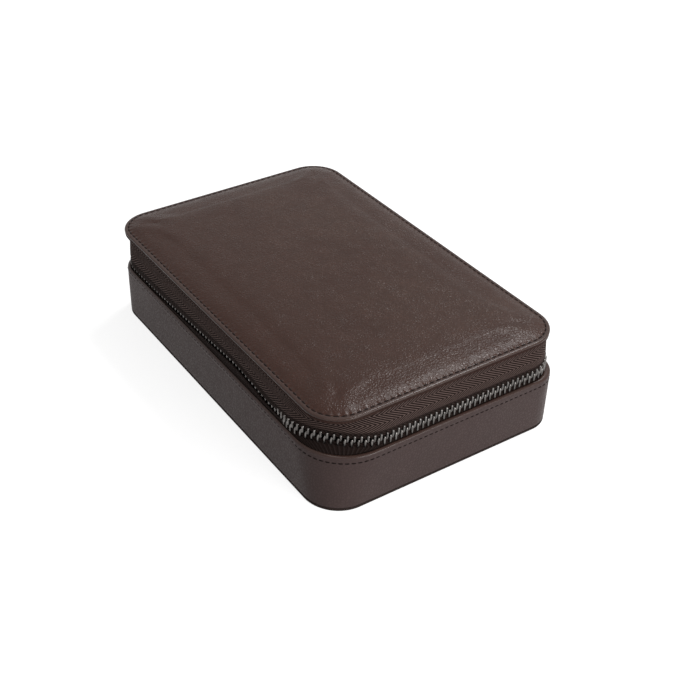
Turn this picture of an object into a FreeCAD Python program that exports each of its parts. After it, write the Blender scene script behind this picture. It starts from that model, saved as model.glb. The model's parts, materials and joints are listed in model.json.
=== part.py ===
import FreeCAD, Part
import math
import os

import Sketcher
from FreeCAD import Placement, Rotation, Vector

# A zip-round leather cufflink box, closed, standing on its underside.
# X runs along the long sides, -Y is the front long side, +Y carries the leather spine that the
# lid turns on, and Z = 0 is the surface that the box stands on. Lengths are in millimetres.

doc = FreeCAD.newDocument("CufflinkBox")
sheet = doc.addObject("Spreadsheet::Sheet", "Sizes")

SIZES = (
    # Outline seen from above, and the levels of the case
    ("case_length", 175, "lid outline along X"),
    ("case_width", 114, "lid outline along Y"),
    ("corner_radius", 15, "corners of the lid outline"),
    ("base_flare", 0.4, "how far the base stands out beyond the lid all round"),
    ("rim_corner_radius", 22, "front right corner of the base, at its rim"),
    ("rim_height", 23.4, "top of the base's outer wall"),
    ("zip_opening", 18.6, "from the base's rim up to the underside of the lid"),
    ("chain_rise", 4.8, "from the base's rim up to the middle of the zip chain"),
    # Base shell, from the outside in
    ("cover_thickness", 1.4, "leather under the base"),
    ("cover_inset", 0.3, "the bottom leather's step in from the base wall"),
    ("wall_leather", 1.3, "leather of the base wall"),
    ("edge_bevel", 0.5, "softened edges of the base leather"),
    ("seat_gap", 0.05, "play between the base leather and the zip tape"),
    ("spine_thickness", 0.9, "leather of the hinge strip"),
    ("wall_board", 2.0, "stiff board inside the base wall"),
    ("floor_board", 2.0, "stiff board under the floor"),
    ("board_drop", 1.2, "top of the wall board below the rim"),
    ("lining_thickness", 1.0, "suede lining of the base wall"),
    ("lining_drop", 0.5, "top of the lining below the rim"),
    ("floor_pad", 1.2, "suede pad on the floor"),
    # Dividers, halved into each other
    ("divider_thickness", 2.4, "padded divider"),
    ("divider_drop", 1.0, "top of the dividers below the rim"),
    ("slot_play", 0.2, "play of the halving slots across a divider"),
    ("divider_play", 0.1, "play between a divider's end and the lining"),
    # Zip tape, chain and spine
    ("tape_thickness", 0.5, "woven tape"),
    ("tape_edge", 1.0, "from the middle of the chain to a tape's inner edge"),
    ("tape_depth", 9.4, "how far the lower tape reaches below the rim"),
    ("tape_lean", 1.4, "how far the upper tape leans in towards the lid"),
    ("tape_upright", 4.8, "height over which the upper tape stays upright above the chain"),
    ("chain_corner_radius", 29, "the wide sweep of the chain round the front right corner"),
    ("chain_width", 5.8, "both rows of teeth, meshed"),
    ("chain_thickness", 2.2, "teeth, front to back"),
    ("tooth_pitch", 2.5, "from tooth to tooth in one row"),
    ("tooth_width", 1.1, "one tooth, along the chain"),
    ("head_reach", 1.0, "how far a tooth's head reaches past the middle of the chain"),
    ("clamp_play", 0.05, "play of a tooth's two legs on the tape"),
    ("spine_gap", 1.0, "from the hinge line to each leaf of the strip"),
    ("chain_tail", 4, "how far the chain runs along the back past the corner"),
    ("tape_tail", 1.05, "how far the tape runs on past the bottom stop"),
    ("tape_end_gap", 0.2, "between a tape's end and the hinge strip"),
    ("stop_length", 2.0, "end stops, along the chain"),
    ("stop_thickness", 1.2, "end stops, front to back"),
    ("stop_overlap", 0.45, "end stops, past their tape's edge towards the chain's middle"),
    # Lid
    ("band_thickness", 1.1, "leather leaf under the lid's edge"),
    ("band_inset", 0.35, "the leaf's step in from the lid's edge"),
    ("band_width", 3.25, "the leaf, from its edge to the board"),
    ("flange_thickness", 1.6, "top leather, turned at the edge"),
    ("fold_round", 1.2, "rounded fold of the top leather round the lid's edge"),
    ("crown_rise", 1.3, "padded top above the edge"),
    ("crown_edge", 3.2, "from the lid's edge to the foot of the padding"),
    ("crown_shoulder", 5.0, "width of the padding's steep border"),
    ("shoulder_share", 0.7, "part of the rise that the steep border takes"),
    ("crown_top_corner", 2.2, "corners of the padding's level middle"),
    ("groove_width", 0.6, "stitching groove"),
    ("groove_depth", 0.3, "stitching groove"),
    ("top_leather", 1.0, "leather over the padding"),
    ("frame_gap", 0.8, "between the slider's inner plate and the lid's wall board"),
    ("frame_board", 1.8, "stiff wall inside the lid"),
    ("frame_drop", 12.0, "depth of the lid's wall below its board"),
    ("lid_lining", 0.8, "suede lining of the lid's wall"),
    ("cushion_play", 0.2, "play round the lid's cushion"),
    ("cushion_thickness", 6.0, "soft cushion in the lid"),
    ("cushion_bevel", 1.2, "softened lower edge of the cushion"),
    # Slider and pull
    ("slider_length", 10.5, "along the chain"),
    ("slider_play", 0.2, "round the teeth, on each side"),
    ("slider_plate", 0.9, "thickness of each plate"),
    ("slider_lip", 0.6, "turned sides that hold the teeth in"),
    ("slider_flare", 0.7, "extra half width at the two mouths"),
    ("tape_slot", 1.2, "gap between the lips, for the tape"),
    ("wedge_half_width", 0.8, "post between the two mouths"),
    ("wedge_length", 3.4, "post between the two mouths"),
    ("slider_round", 0.35, "rounding of the plates' outer edges"),
    ("corner_gap", 0.35, "from the end stops beside the closed slider to the back left corner"),
    ("mesh_gap", 0.8, "from the closed slider to the first tooth"),
    ("stop_gap", 0.4, "from the closed slider to the top stops"),
    ("bail_reach", 2.6, "middle of the bail's bow, from the plate"),
    ("bail_width", 0.9, "the bow's metal, from its inside to its outside"),
    ("bail_thickness", 0.8, "the bow's metal, across its plane"),
    ("eye_inside", 1.0, "radius of the pull's eye"),
    ("eye_rim", 0.9, "metal round the eye"),
    ("eye_width", 0.9, "the eye, along the bail"),
    ("eye_play", 0.35, "between the hanging eye and the bail"),
    ("pull_length", 22, "the pull's blade"),
    ("pull_width", 5.6, "the blade's widest place"),
    ("pull_neck", 2.6, "the blade's width at the eye"),
    ("pull_thickness", 1.4, "the blade"),
    ("pull_hole", 1.3, "radius of the hole near the blade's end"),
    ("pull_round", 0.9, "rounding of the blade's corners"),
)

DIVIDER_ROWS = 3
DIVIDER_COLUMNS = 5
HALF_TURN = Placement(Vector(), Rotation(Vector(0, 0, 1), 180))
NEAR = 1e-6

for row, (name, number, note) in enumerate(SIZES, start=1):
    sheet.set(f"A{row}", name)
    sheet.set(f"B{row}", str(number))
    sheet.setAlias(f"B{row}", name)
    sheet.set(f"C{row}", note)
doc.recompute()


def size(name):
    """One size as a plain number."""
    return float(sheet.get(name))


def worth(expression):
    """An expression's value now, as a plain number."""
    found = sheet.evalExpression(expression)
    return float(getattr(found, "Value", found))


# Levels, from the floor up
COVER_TOP = "Sizes.cover_thickness"
BOARD_TOP = f"({COVER_TOP} + Sizes.floor_board)"
FLOOR_TOP = f"({BOARD_TOP} + Sizes.floor_pad)"
RIM = "Sizes.rim_height"
DIVIDER_TOP = f"({RIM} - Sizes.divider_drop)"
CHAIN = f"({RIM} + Sizes.chain_rise)"
LID_UNDER = f"({RIM} + Sizes.zip_opening)"
BAND_TOP = f"({LID_UNDER} + Sizes.band_thickness)"
FLANGE_TOP = f"({BAND_TOP} + Sizes.flange_thickness)"
SHOULDER_TOP = f"({FLANGE_TOP} + Sizes.crown_rise * Sizes.shoulder_share)"
CROWN_TOP = f"({FLANGE_TOP} + Sizes.crown_rise)"
FRAME_FOOT = f"({LID_UNDER} - Sizes.frame_drop)"

# Steps in from the lid's outline, from the outside to the middle
WALL_OUT = "(0 - Sizes.base_flare)"
WALL_IN = "(Sizes.wall_leather - Sizes.base_flare)"
TAPE_OUT = f"({WALL_IN} + Sizes.seat_gap)"
TAPE_MID = f"({TAPE_OUT} + Sizes.tape_thickness / 2)"
TAPE_IN = f"({TAPE_OUT} + Sizes.tape_thickness)"
BOARD_OUT = f"({TAPE_OUT} + Sizes.spine_thickness)"
BOARD_IN = f"({BOARD_OUT} + Sizes.wall_board)"
LINING_IN = f"({BOARD_IN} + Sizes.lining_thickness)"
CHANNEL_HALF = "(Sizes.chain_thickness / 2 + Sizes.slider_play)"
SLIDER_HALF = f"({CHANNEL_HALF} + Sizes.slider_plate)"
FRAME_OUT = f"({TAPE_MID} + {SLIDER_HALF} + Sizes.frame_gap)"
FRAME_IN = f"({FRAME_OUT} + Sizes.frame_board)"
LID_LINING_IN = f"({FRAME_IN} + Sizes.lid_lining)"
CUSHION_OUT = f"({LID_LINING_IN} + Sizes.cushion_play)"
BAND_IN = "(Sizes.band_inset + Sizes.band_width)"
SHOULDER_IN = "(Sizes.crown_edge + Sizes.crown_shoulder)"
LEVEL_IN = "(Sizes.corner_radius - Sizes.crown_top_corner)"

# Places along the sides
TAPE_END = (
    "(Sizes.case_length / 2 - Sizes.corner_radius - Sizes.chain_tail - Sizes.tooth_pitch / 2"
    " - Sizes.stop_length - Sizes.tape_tail)"
)
SPINE_END = f"({TAPE_END} - Sizes.tape_end_gap)"
SLIDER_X = f"({TAPE_MID} - Sizes.case_length / 2)"
SLIDER_Y = (
    "(Sizes.case_width / 2 - Sizes.corner_radius - Sizes.corner_gap - Sizes.stop_length"
    " - Sizes.stop_gap - Sizes.slider_length / 2)"
)

parts = []


def sub_part(kind, label):
    """A new object that is one piece of the box."""
    piece = doc.addObject(kind, label)
    piece.Label = label
    parts.append(piece)
    return piece


def plane(body, role):
    return next(feature for feature in body.Origin.OriginFeatures if feature.Role == role)


def sketch_on(body, name, role="XY_Plane", level="0"):
    """An empty sketch on one of a body's own planes, lifted along that plane's normal."""
    sketch = body.newObject("Sketcher::SketchObject", name)
    sketch.AttachmentSupport = [(plane(body, role), "")]
    sketch.MapMode = "FlatFace"
    sketch.setExpression("AttachmentOffset.Base.z", level)
    return sketch


def bind(sketch, kind, *places, to):
    """A constraint whose value is an expression."""
    index = sketch.addConstraint(Sketcher.Constraint(kind, *places, worth(to)))
    sketch.setExpression(f"Constraints[{index}]", to)


ORIGIN = (-1, 1)
START, END, CENTRE = 1, 2, 3
HORIZONTAL, VERTICAL = -1, -2


def rounded_loop(sketch, inset, near_radius=None):
    """A rounded rectangle set in from the lid's outline. The front right corner may be wider."""
    half_x = f"(Sizes.case_length / 2 - {inset})"
    half_y = f"(Sizes.case_width / 2 - {inset})"
    radius = f"(Sizes.corner_radius - {inset})"
    radii = [near_radius or radius, radius, radius, radius]
    x, y = worth(half_x), worth(half_y)
    corners = [(x, -y), (x, y), (-x, y), (-x, -y)]
    arcs = []
    for turn, ((corner_x, corner_y), expression) in enumerate(zip(corners, radii)):
        r = worth(expression)
        centre = Vector(corner_x - math.copysign(r, corner_x), corner_y - math.copysign(r, corner_y), 0)
        start = math.radians(90 * turn - 90)
        circle = Part.Circle(centre, Vector(0, 0, 1), r)
        arc = sketch.addGeometry(Part.ArcOfCircle(circle, start, start + math.pi / 2))
        arcs.append(arc)
    sides = []
    for turn in range(4):
        first = sketch.getPoint(arcs[turn], END)
        second = sketch.getPoint(arcs[(turn + 1) % 4], START)
        side = sketch.addGeometry(Part.LineSegment(first, second))
        sides.append(side)
        sketch.addConstraint(Sketcher.Constraint("Tangent", arcs[turn], END, side, START))
        sketch.addConstraint(Sketcher.Constraint("Tangent", side, END, arcs[(turn + 1) % 4], START))
        sketch.addConstraint(Sketcher.Constraint("Vertical" if turn % 2 == 0 else "Horizontal", side))
    right, back, left, front = sides
    bind(sketch, "DistanceX", *ORIGIN, right, START, to=half_x)
    bind(sketch, "DistanceY", *ORIGIN, back, START, to=half_y)
    bind(sketch, "DistanceX", left, START, *ORIGIN, to=half_x)
    bind(sketch, "DistanceY", front, START, *ORIGIN, to=half_y)
    for arc, expression in zip(arcs, radii):
        bind(sketch, "Radius", arc, to=expression)


def polygon(sketch, points):
    """A closed polygon whose corners are pairs of expressions."""
    places = [Vector(worth(across), worth(up), 0) for across, up in points]
    count = len(points)
    first = sketch.GeometryCount
    for index in range(count):
        sketch.addGeometry(Part.LineSegment(places[index], places[(index + 1) % count]))
    for index, pair in enumerate(points):
        line = first + index
        following = first + (index + 1) % count
        sketch.addConstraint(Sketcher.Constraint("Coincident", line, END, following, START))
        for kind, axis, expression in zip(("DistanceX", "DistanceY"), (VERTICAL, HORIZONTAL), pair):
            value = worth(expression)
            if abs(value) < NEAR:
                sketch.addConstraint(Sketcher.Constraint("PointOnObject", line, START, axis))
            elif value > 0:
                bind(sketch, kind, *ORIGIN, line, START, to=expression)
            else:
                bind(sketch, kind, line, START, *ORIGIN, to=f"(0 - {expression})")


def rectangle(sketch, low_x, low_y, high_x, high_y):
    polygon(sketch, [(low_x, low_y), (high_x, low_y), (high_x, high_y), (low_x, high_y)])


def pad(body, sketch, length, middle=False):
    feature = body.newObject("PartDesign::Pad", f"{sketch.Name}Pad")
    feature.Profile = sketch
    feature.Midplane = middle
    feature.setExpression("Length", length)
    return feature


def pocket(body, sketch, length, middle=False, reverse=False):
    """Cut a sketch out of a body, and check that it took material away."""
    doc.recompute()
    before = body.Shape.Volume
    feature = body.newObject("PartDesign::Pocket", f"{sketch.Name}Pocket")
    feature.Profile = sketch
    feature.Midplane = middle
    feature.Reversed = reverse
    feature.setExpression("Length", length)
    doc.recompute()
    assert body.Shape.Volume < before - NEAR, f"{feature.Name} cuts nothing"
    return feature


def dress_edges(kind, body, feature, reach, wanted):
    """Round or bevel the edges of a body's last feature for which wanted(edge) holds."""
    doc.recompute()
    edges = [f"Edge{n}" for n, edge in enumerate(feature.Shape.Edges, start=1) if wanted(edge)]
    dressed = body.newObject(f"PartDesign::{kind}", f"{body.Name}{kind}")
    dressed.Base = (feature, edges)
    dressed.setExpression("Radius" if kind == "Fillet" else "Size", reach)
    body.Tip = dressed


def slab(label, bottom, top, outer, inner=None, near_outer=None, near_inner=None):
    """A flat piece or a ring with upright walls between two levels."""
    body = sub_part("PartDesign::Body", label)
    sketch = sketch_on(body, f"{label}_outline", level=bottom)
    rounded_loop(sketch, outer, near_outer)
    if inner is not None:
        rounded_loop(sketch, inner, near_inner)
    return body, pad(body, sketch, f"{top} - {bottom}")


def loft(body, kind, name, rings):
    """A ruled loft through rounded rectangles, given as (level, inset, near_radius)."""
    sketches = []
    for index, (level, *shape) in enumerate(rings):
        sketch = sketch_on(body, f"{name}_{index}", level=level)
        rounded_loop(sketch, *shape)
        sketches.append(sketch)
    feature = body.newObject(f"PartDesign::{kind}", name)
    feature.Profile = sketches[0]
    feature.Sections = sketches[1:]
    feature.Ruled = True
    doc.recompute()
    return feature


def base_corner(level, inset):
    """Radius of the base's front right corner, which widens from the foot of the wall to its rim."""
    wider = "(Sizes.rim_corner_radius - Sizes.corner_radius)"
    share = f"(({level} - {COVER_TOP}) / ({RIM} - {COVER_TOP}))"
    return f"(Sizes.corner_radius + {wider} * {share} - {inset})"


def base_ring(label, outside, inside):
    """A ring that follows the base's wall, between two faces given as lists of (level, inset)."""
    body = sub_part("PartDesign::Body", label)
    for kind, name, face in (("AdditiveLoft", "outside", outside), ("SubtractiveLoft", "inside", inside)):
        rings = [(level, inset, base_corner(level, inset)) for level, inset in face]
        loft(body, kind, f"{label}_{name}", rings)


# Base: bottom leather, outer wall, boards, lining and floor pad

def base_bottom_cover():
    body, block = slab("base_bottom_cover", "0", COVER_TOP, f"({WALL_OUT} + Sizes.cover_inset)")
    dress_edges("Chamfer", body, block, "Sizes.edge_bevel", lambda edge: edge.BoundBox.ZMax < NEAR)


def base_outer_wall():
    bevelled = f"({WALL_OUT} + Sizes.edge_bevel)"
    outside = [
        (COVER_TOP, bevelled),
        (f"({COVER_TOP} + Sizes.edge_bevel)", WALL_OUT),
        (f"({RIM} - Sizes.edge_bevel)", WALL_OUT),
        (RIM, bevelled),
    ]
    base_ring("base_outer_wall", outside, [(COVER_TOP, WALL_IN), (RIM, WALL_IN)])


def base_inner_shell():
    slab("base_floor_board", COVER_TOP, BOARD_TOP, BOARD_OUT, near_outer=base_corner(BOARD_TOP, BOARD_OUT))
    for label, top, outer, inner in (
        ("base_wall_board", f"({RIM} - Sizes.board_drop)", BOARD_OUT, BOARD_IN),
        ("base_wall_lining", f"({RIM} - Sizes.lining_drop)", BOARD_IN, LINING_IN),
    ):
        base_ring(label, [(BOARD_TOP, outer), (top, outer)], [(BOARD_TOP, inner), (top, inner)])
    slab("base_floor_pad", BOARD_TOP, FLOOR_TOP, LINING_IN, near_outer=base_corner(FLOOR_TOP, LINING_IN))


# Dividers: two long ones slotted from above, four cross ones slotted from below

INNER_X = f"(Sizes.case_length / 2 - {LINING_IN})"
INNER_Y = f"(Sizes.case_width / 2 - {LINING_IN})"


def divider_place(index, count, half):
    """Middle of a divider, with equal cells on both sides of each."""
    cell = f"((2 * {half} - {count - 1} * Sizes.divider_thickness) / {count})"
    return f"(0 - {half} + {index} * {cell} + {index - 0.5} * Sizes.divider_thickness)"


def box(name, low, high):
    """A plain block between two corners given as expressions."""
    block = doc.addObject("Part::Box", name)
    for side, axis, start, end in zip(("Length", "Width", "Height"), "xyz", low, high):
        block.setExpression(side, f"{end} - {start}")
        block.setExpression(f"Placement.Base.{axis}", start)
    return block


def divider(label, blank, slots):
    gaps = doc.addObject("Part::Compound", f"{label}_slots")
    gaps.Links = slots
    piece = sub_part("Part::Cut", label)
    piece.Base = blank
    piece.Tool = gaps


def dividers():
    half = "Sizes.divider_thickness / 2"
    wide = f"({half} + Sizes.slot_play / 2)"
    middle = f"(({FLOOR_TOP} + {DIVIDER_TOP}) / 2)"
    above = f"({DIVIDER_TOP} + 1)"
    below = f"({FLOOR_TOP} - 1)"
    rows = [divider_place(n, DIVIDER_ROWS, INNER_Y) for n in range(1, DIVIDER_ROWS)]
    columns = [divider_place(n, DIVIDER_COLUMNS, INNER_X) for n in range(1, DIVIDER_COLUMNS)]
    reach_x = f"({INNER_X} - Sizes.divider_play)"
    reach_y = f"({INNER_Y} - Sizes.divider_play)"
    for number, row in enumerate(rows, start=1):
        label = f"long_divider_{number}"
        low = (f"(0 - {reach_x})", f"({row} - {half})", FLOOR_TOP)
        high = (reach_x, f"({row} + {half})", DIVIDER_TOP)
        slots = [
            box(
                f"{label}_slot_{n}",
                (f"({column} - {wide})", f"({row} - Sizes.divider_thickness)", middle),
                (f"({column} + {wide})", f"({row} + Sizes.divider_thickness)", above),
            )
            for n, column in enumerate(columns, start=1)
        ]
        divider(label, box(f"{label}_blank", low, high), slots)
    for number, column in enumerate(columns, start=1):
        label = f"cross_divider_{number}"
        low = (f"({column} - {half})", f"(0 - {reach_y})", FLOOR_TOP)
        high = (f"({column} + {half})", reach_y, DIVIDER_TOP)
        slots = [
            box(
                f"{label}_slot_{n}",
                (f"({column} - Sizes.divider_thickness)", f"({row} - {wide})", below),
                (f"({column} + Sizes.divider_thickness)", f"({row} + {wide})", middle),
            )
            for n, row in enumerate(rows, start=1)
        ]
        divider(label, box(f"{label}_blank", low, high), slots)


# Zip tapes: each follows the wall, and sweeps wide round the front right corner at the chain

def near(inset):
    """Radius of the chain's sweep at some step in from the lid's outline."""
    return f"(Sizes.chain_corner_radius + {TAPE_MID} - {inset})"


def open_back(body):
    """Cut away the back, where the leather strip takes the tape's place."""
    sketch = sketch_on(body, f"{body.Name}_back", level=CROWN_TOP)
    deep = f"(Sizes.case_width / 2 - {FRAME_OUT})"
    rectangle(sketch, f"(0 - {TAPE_END})", deep, TAPE_END, "(Sizes.case_width)")
    pocket(body, sketch, CROWN_TOP)


def zip_tape_base():
    body = sub_part("PartDesign::Body", "zip_tape_base")
    foot = f"({RIM} - Sizes.tape_depth)"
    bend = f"({RIM} - Sizes.board_drop / 2)"
    under_teeth = f"({CHAIN} - Sizes.chain_width / 2)"
    edge = f"({CHAIN} - Sizes.tape_edge)"
    for kind, name, inset in (
        ("AdditiveLoft", "tape_base_face", TAPE_OUT),
        ("SubtractiveLoft", "tape_base_back", TAPE_IN),
    ):
        wide = near(inset)
        in_base = [(level, inset, base_corner(level, inset)) for level in (foot, bend)]
        rings = in_base + [(under_teeth, inset, wide), (edge, inset, wide)]
        loft(body, kind, name, rings)
    open_back(body)


def zip_tape_lid():
    body = sub_part("PartDesign::Body", "zip_tape_lid")
    edge = f"({CHAIN} + Sizes.tape_edge)"
    upright = f"({CHAIN} + Sizes.tape_upright)"
    for kind, name, inset in (
        ("AdditiveLoft", "tape_lid_face", TAPE_OUT),
        ("SubtractiveLoft", "tape_lid_back", TAPE_IN),
    ):
        wide = near(inset)
        leaning = f"({inset} + Sizes.tape_lean)"
        rings = [(edge, inset, wide), (upright, inset, wide), (LID_UNDER, leaning, near(leaning))]
        loft(body, kind, name, rings)
    open_back(body)


def spine():
    """The hinge strip's two leaves, one glued into the base and one under the lid."""
    back = "Sizes.case_width / 2"
    leaves = (
        ("spine_lower_leaf", f"({RIM} - Sizes.tape_depth)", f"({CHAIN} - Sizes.spine_gap)"),
        ("spine_upper_leaf", f"({CHAIN} + Sizes.spine_gap)", LID_UNDER),
    )
    for label, bottom, top in leaves:
        leaf = sub_part("Part::Box", label)
        leaf.setExpression("Length", f"2 * {SPINE_END}")
        leaf.setExpression("Width", "Sizes.spine_thickness")
        leaf.setExpression("Height", f"{top} - {bottom}")
        leaf.setExpression("Placement.Base.x", f"0 - {SPINE_END}")
        leaf.setExpression("Placement.Base.y", f"{back} - {BOARD_OUT}")
        leaf.setExpression("Placement.Base.z", bottom)


# Zip chain: U-shaped metal teeth clamped on the tapes' edges, one row half a pitch behind the other

def chain_path():
    """The chain's middle line from its tail on the back, round the right, front and left sides.

    Each stretch is (group, start point, heading in degrees, length, radius), and a radius of 0
    is a straight run. The line turns clockwise seen from above.
    """
    step_in = worth(TAPE_MID)
    half_x = size("case_length") / 2 - step_in
    half_y = size("case_width") / 2 - step_in
    small = size("corner_radius") - step_in
    wide = size("chain_corner_radius")
    slider_end = worth(SLIDER_Y) - size("slider_length") / 2 - size("mesh_gap")
    quarter = math.pi / 2
    return [
        ("tail", Vector(half_x - small - size("chain_tail"), half_y, 0), 0, size("chain_tail"), 0),
        ("tail", Vector(half_x - small, half_y, 0), 0, quarter * small, small),
        ("right", Vector(half_x, half_y - small, 0), -90, 2 * half_y - small - wide, 0),
        ("front", Vector(half_x, wide - half_y, 0), -90, quarter * wide, wide),
        ("front", Vector(half_x - wide, -half_y, 0), -180, 2 * half_x - small - wide, 0),
        ("front", Vector(small - half_x, -half_y, 0), -180, quarter * small, small),
        ("left", Vector(-half_x, small - half_y, 0), -270, slider_end + half_y - small, 0),
    ]


def place_on(stretch, along):
    """Placement at a distance along a stretch: local X follows the chain, local Y points outwards."""
    _, start, heading, _, radius = stretch
    forward = Vector(math.cos(math.radians(heading)), math.sin(math.radians(heading)), 0)
    inward = Vector(forward.y, -forward.x, 0)
    if radius == 0:
        return Placement(start + forward * along, Rotation(Vector(0, 0, 1), heading))
    turn = along / radius
    point = start + forward * (radius * math.sin(turn)) + inward * (radius * (1 - math.cos(turn)))
    return Placement(point, Rotation(Vector(0, 0, 1), heading - math.degrees(turn)))


def tooth(side):
    """One tooth at the origin: its head past the middle of the chain, its two legs round the tape.

    side is 1 for the lid's row, whose legs point up, and -1 for the base's row.
    """
    half = size("chain_thickness") / 2
    slot = size("tape_thickness") / 2 + size("clamp_play")
    head = -side * size("head_reach")
    root = side * size("tape_edge")
    legs = side * size("chain_width") / 2
    outline = [(-half, head), (half, head), (half, legs), (slot, legs), (slot, root), (-slot, root),
               (-slot, legs), (-half, legs)]
    start = -size("tooth_width") / 2
    corners = [Vector(start, across, up) for across, up in outline]
    face = Part.Face(Part.makePolygon(corners + corners[:1]))
    return face.extrude(Vector(size("tooth_width"), 0, 0))


def teeth(row, side, first):
    """One row of teeth, as one sub-part for each group of stretches."""
    pitch = size("tooth_pitch")
    pattern = tooth(side)
    level = worth(CHAIN)
    groups = {}
    along = first
    for stretch in chain_path():
        length = stretch[3]
        while along < length:
            copy = pattern.copy()
            spot = place_on(stretch, along)
            spot.Base = spot.Base + Vector(0, 0, level)
            copy.Placement = spot
            groups.setdefault(stretch[0], []).append(copy)
            along += pitch
        along -= length
    for group, solids in groups.items():
        piece = sub_part("Part::Feature", f"zip_teeth_{row}_{group}")
        piece.Shape = Part.makeCompound(solids)


def stop(label, side, spot):
    """An end stop: a metal clip round one tape's edge, placed like a tooth."""
    half = size("stop_thickness") / 2
    slot = size("tape_thickness") / 2 + size("clamp_play")
    near_end = side * (size("tape_edge") - size("stop_overlap"))
    root = side * size("tape_edge")
    legs = side * size("chain_width") / 2
    outline = [(-half, near_end), (half, near_end), (half, legs), (slot, legs), (slot, root),
               (-slot, root), (-slot, legs), (-half, legs)]
    corners = [Vector(0, across, up) for across, up in outline]
    face = Part.Face(Part.makePolygon(corners + corners[:1]))
    piece = sub_part("Part::Feature", label)
    piece.Shape = face.extrude(Vector(size("stop_length"), 0, 0))
    spot.Base = spot.Base + Vector(0, 0, worth(CHAIN))
    piece.Placement = spot


def stops():
    step_in = worth(TAPE_MID)
    left = step_in - size("case_length") / 2
    start = worth(SLIDER_Y) + size("slider_length") / 2 + size("stop_gap")
    for label, side in (("top_stop_lid", 1), ("top_stop_base", -1)):
        stop(label, side, Placement(Vector(left, start, 0), Rotation(Vector(0, 0, 1), 90)))
    tail = chain_path()[0]
    bottom = place_on(tail, -size("stop_length") - size("tooth_pitch") / 2)
    stop("bottom_stop", -1, bottom)


# Slider, with its bail, and the pull that hangs from it.
# They are modelled with X pointing away from the box and Y along the opening travel, and are
# then turned half round and set on the left side.

NARROW = "(Sizes.chain_width / 2 + Sizes.slider_play + Sizes.slider_lip)"
MOUTH = f"({NARROW} + Sizes.slider_flare)"


def set_on_left_side(piece, place_x=SLIDER_X):
    piece.Placement = HALF_TURN
    piece.setExpression("Placement.Base.x", place_x)
    piece.setExpression("Placement.Base.y", SLIDER_Y)
    piece.setExpression("Placement.Base.z", CHAIN)


def slider_body():
    """Two plates joined by lips along their sides and by a wedge between the two mouths."""
    body = sub_part("PartDesign::Body", "slider_body")
    ahead = "(Sizes.slider_length / 2)"
    behind = f"(0 - {ahead})"
    waist = "(0 - Sizes.slider_length / 8)"
    chamfer = "(2 * Sizes.slider_lip)"
    block = sketch_on(body, "slider_block", role="YZ_Plane")
    upper = [(ahead, NARROW), (waist, MOUTH), (f"({behind} + {chamfer})", MOUTH),
             (behind, f"({MOUTH} - {chamfer})")]
    lower = [(along, f"(0 - {up})") for along, up in reversed(upper)]
    polygon(block, upper + lower)
    solid = pad(body, block, f"2 * {SLIDER_HALF}", middle=True)
    face = worth(SLIDER_HALF)
    dress_edges(
        "Fillet",
        body,
        solid,
        "Sizes.slider_round",
        lambda edge: abs(abs(edge.CenterOfMass.x) - face) < NEAR,
    )
    channel = sketch_on(body, "slider_channel", role="YZ_Plane")
    past = f"({ahead} + 1)"
    open_end = f"({behind} - 1)"
    wedge_tip = f"({behind} + Sizes.wedge_length)"
    wall = f"({NARROW} - Sizes.slider_lip)"
    mouth_wall = f"({MOUTH} - Sizes.slider_lip)"
    half = [(past, wall), (ahead, wall), (waist, mouth_wall), (open_end, mouth_wall),
            (open_end, "Sizes.wedge_half_width"), (behind, "Sizes.wedge_half_width")]
    mirror = [(along, f"(0 - {up})") for along, up in reversed(half)]
    polygon(channel, half + [(wedge_tip, "0")] + mirror)
    pocket(body, channel, f"2 * {CHANNEL_HALF}", middle=True)
    slot = sketch_on(body, "slider_tape_slot", role="XZ_Plane")
    thin = "(Sizes.tape_slot / 2)"
    inner = "(Sizes.wedge_half_width + 0.1)"
    outer = f"({MOUTH} + 1)"
    rectangle(slot, f"(0 - {thin})", inner, thin, outer)
    rectangle(slot, f"(0 - {thin})", f"(0 - {outer})", thin, f"(0 - {inner})")
    pocket(body, slot, "2 * Sizes.slider_length", middle=True)
    set_on_left_side(body)


def ring(name, radius, inner, thickness, turn, angle=360):
    """A flat ring, or a part of one, cut from two cylinders."""
    made = []
    for end, reach, extra in (("outside", radius, "0"), ("inside", inner, "1")):
        disc = doc.addObject("Part::Cylinder", f"{name}_{end}")
        disc.Angle = angle
        disc.setExpression("Radius", reach)
        disc.setExpression("Height", f"{thickness} + 2 * {extra}")
        disc.Placement = Placement(turn.multVec(Vector(0, 0, -worth(f"{thickness} / 2 + {extra}"))), turn)
        made.append(disc)
    cut = doc.addObject("Part::Cut", name)
    cut.Base, cut.Tool = made
    return cut


def slider_bail():
    """A bow of flat metal standing on the outer plate, in line with the chain."""
    half = "Sizes.bail_width / 2"
    bail = ring(
        "slider_bail",
        f"Sizes.bail_reach + {half}",
        f"Sizes.bail_reach - {half}",
        "Sizes.bail_thickness",
        Rotation(Vector(0, 0, 1), -90),
        angle=180,
    )
    parts.append(bail)
    set_on_left_side(bail, f"({SLIDER_X} - {SLIDER_HALF})")


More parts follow.
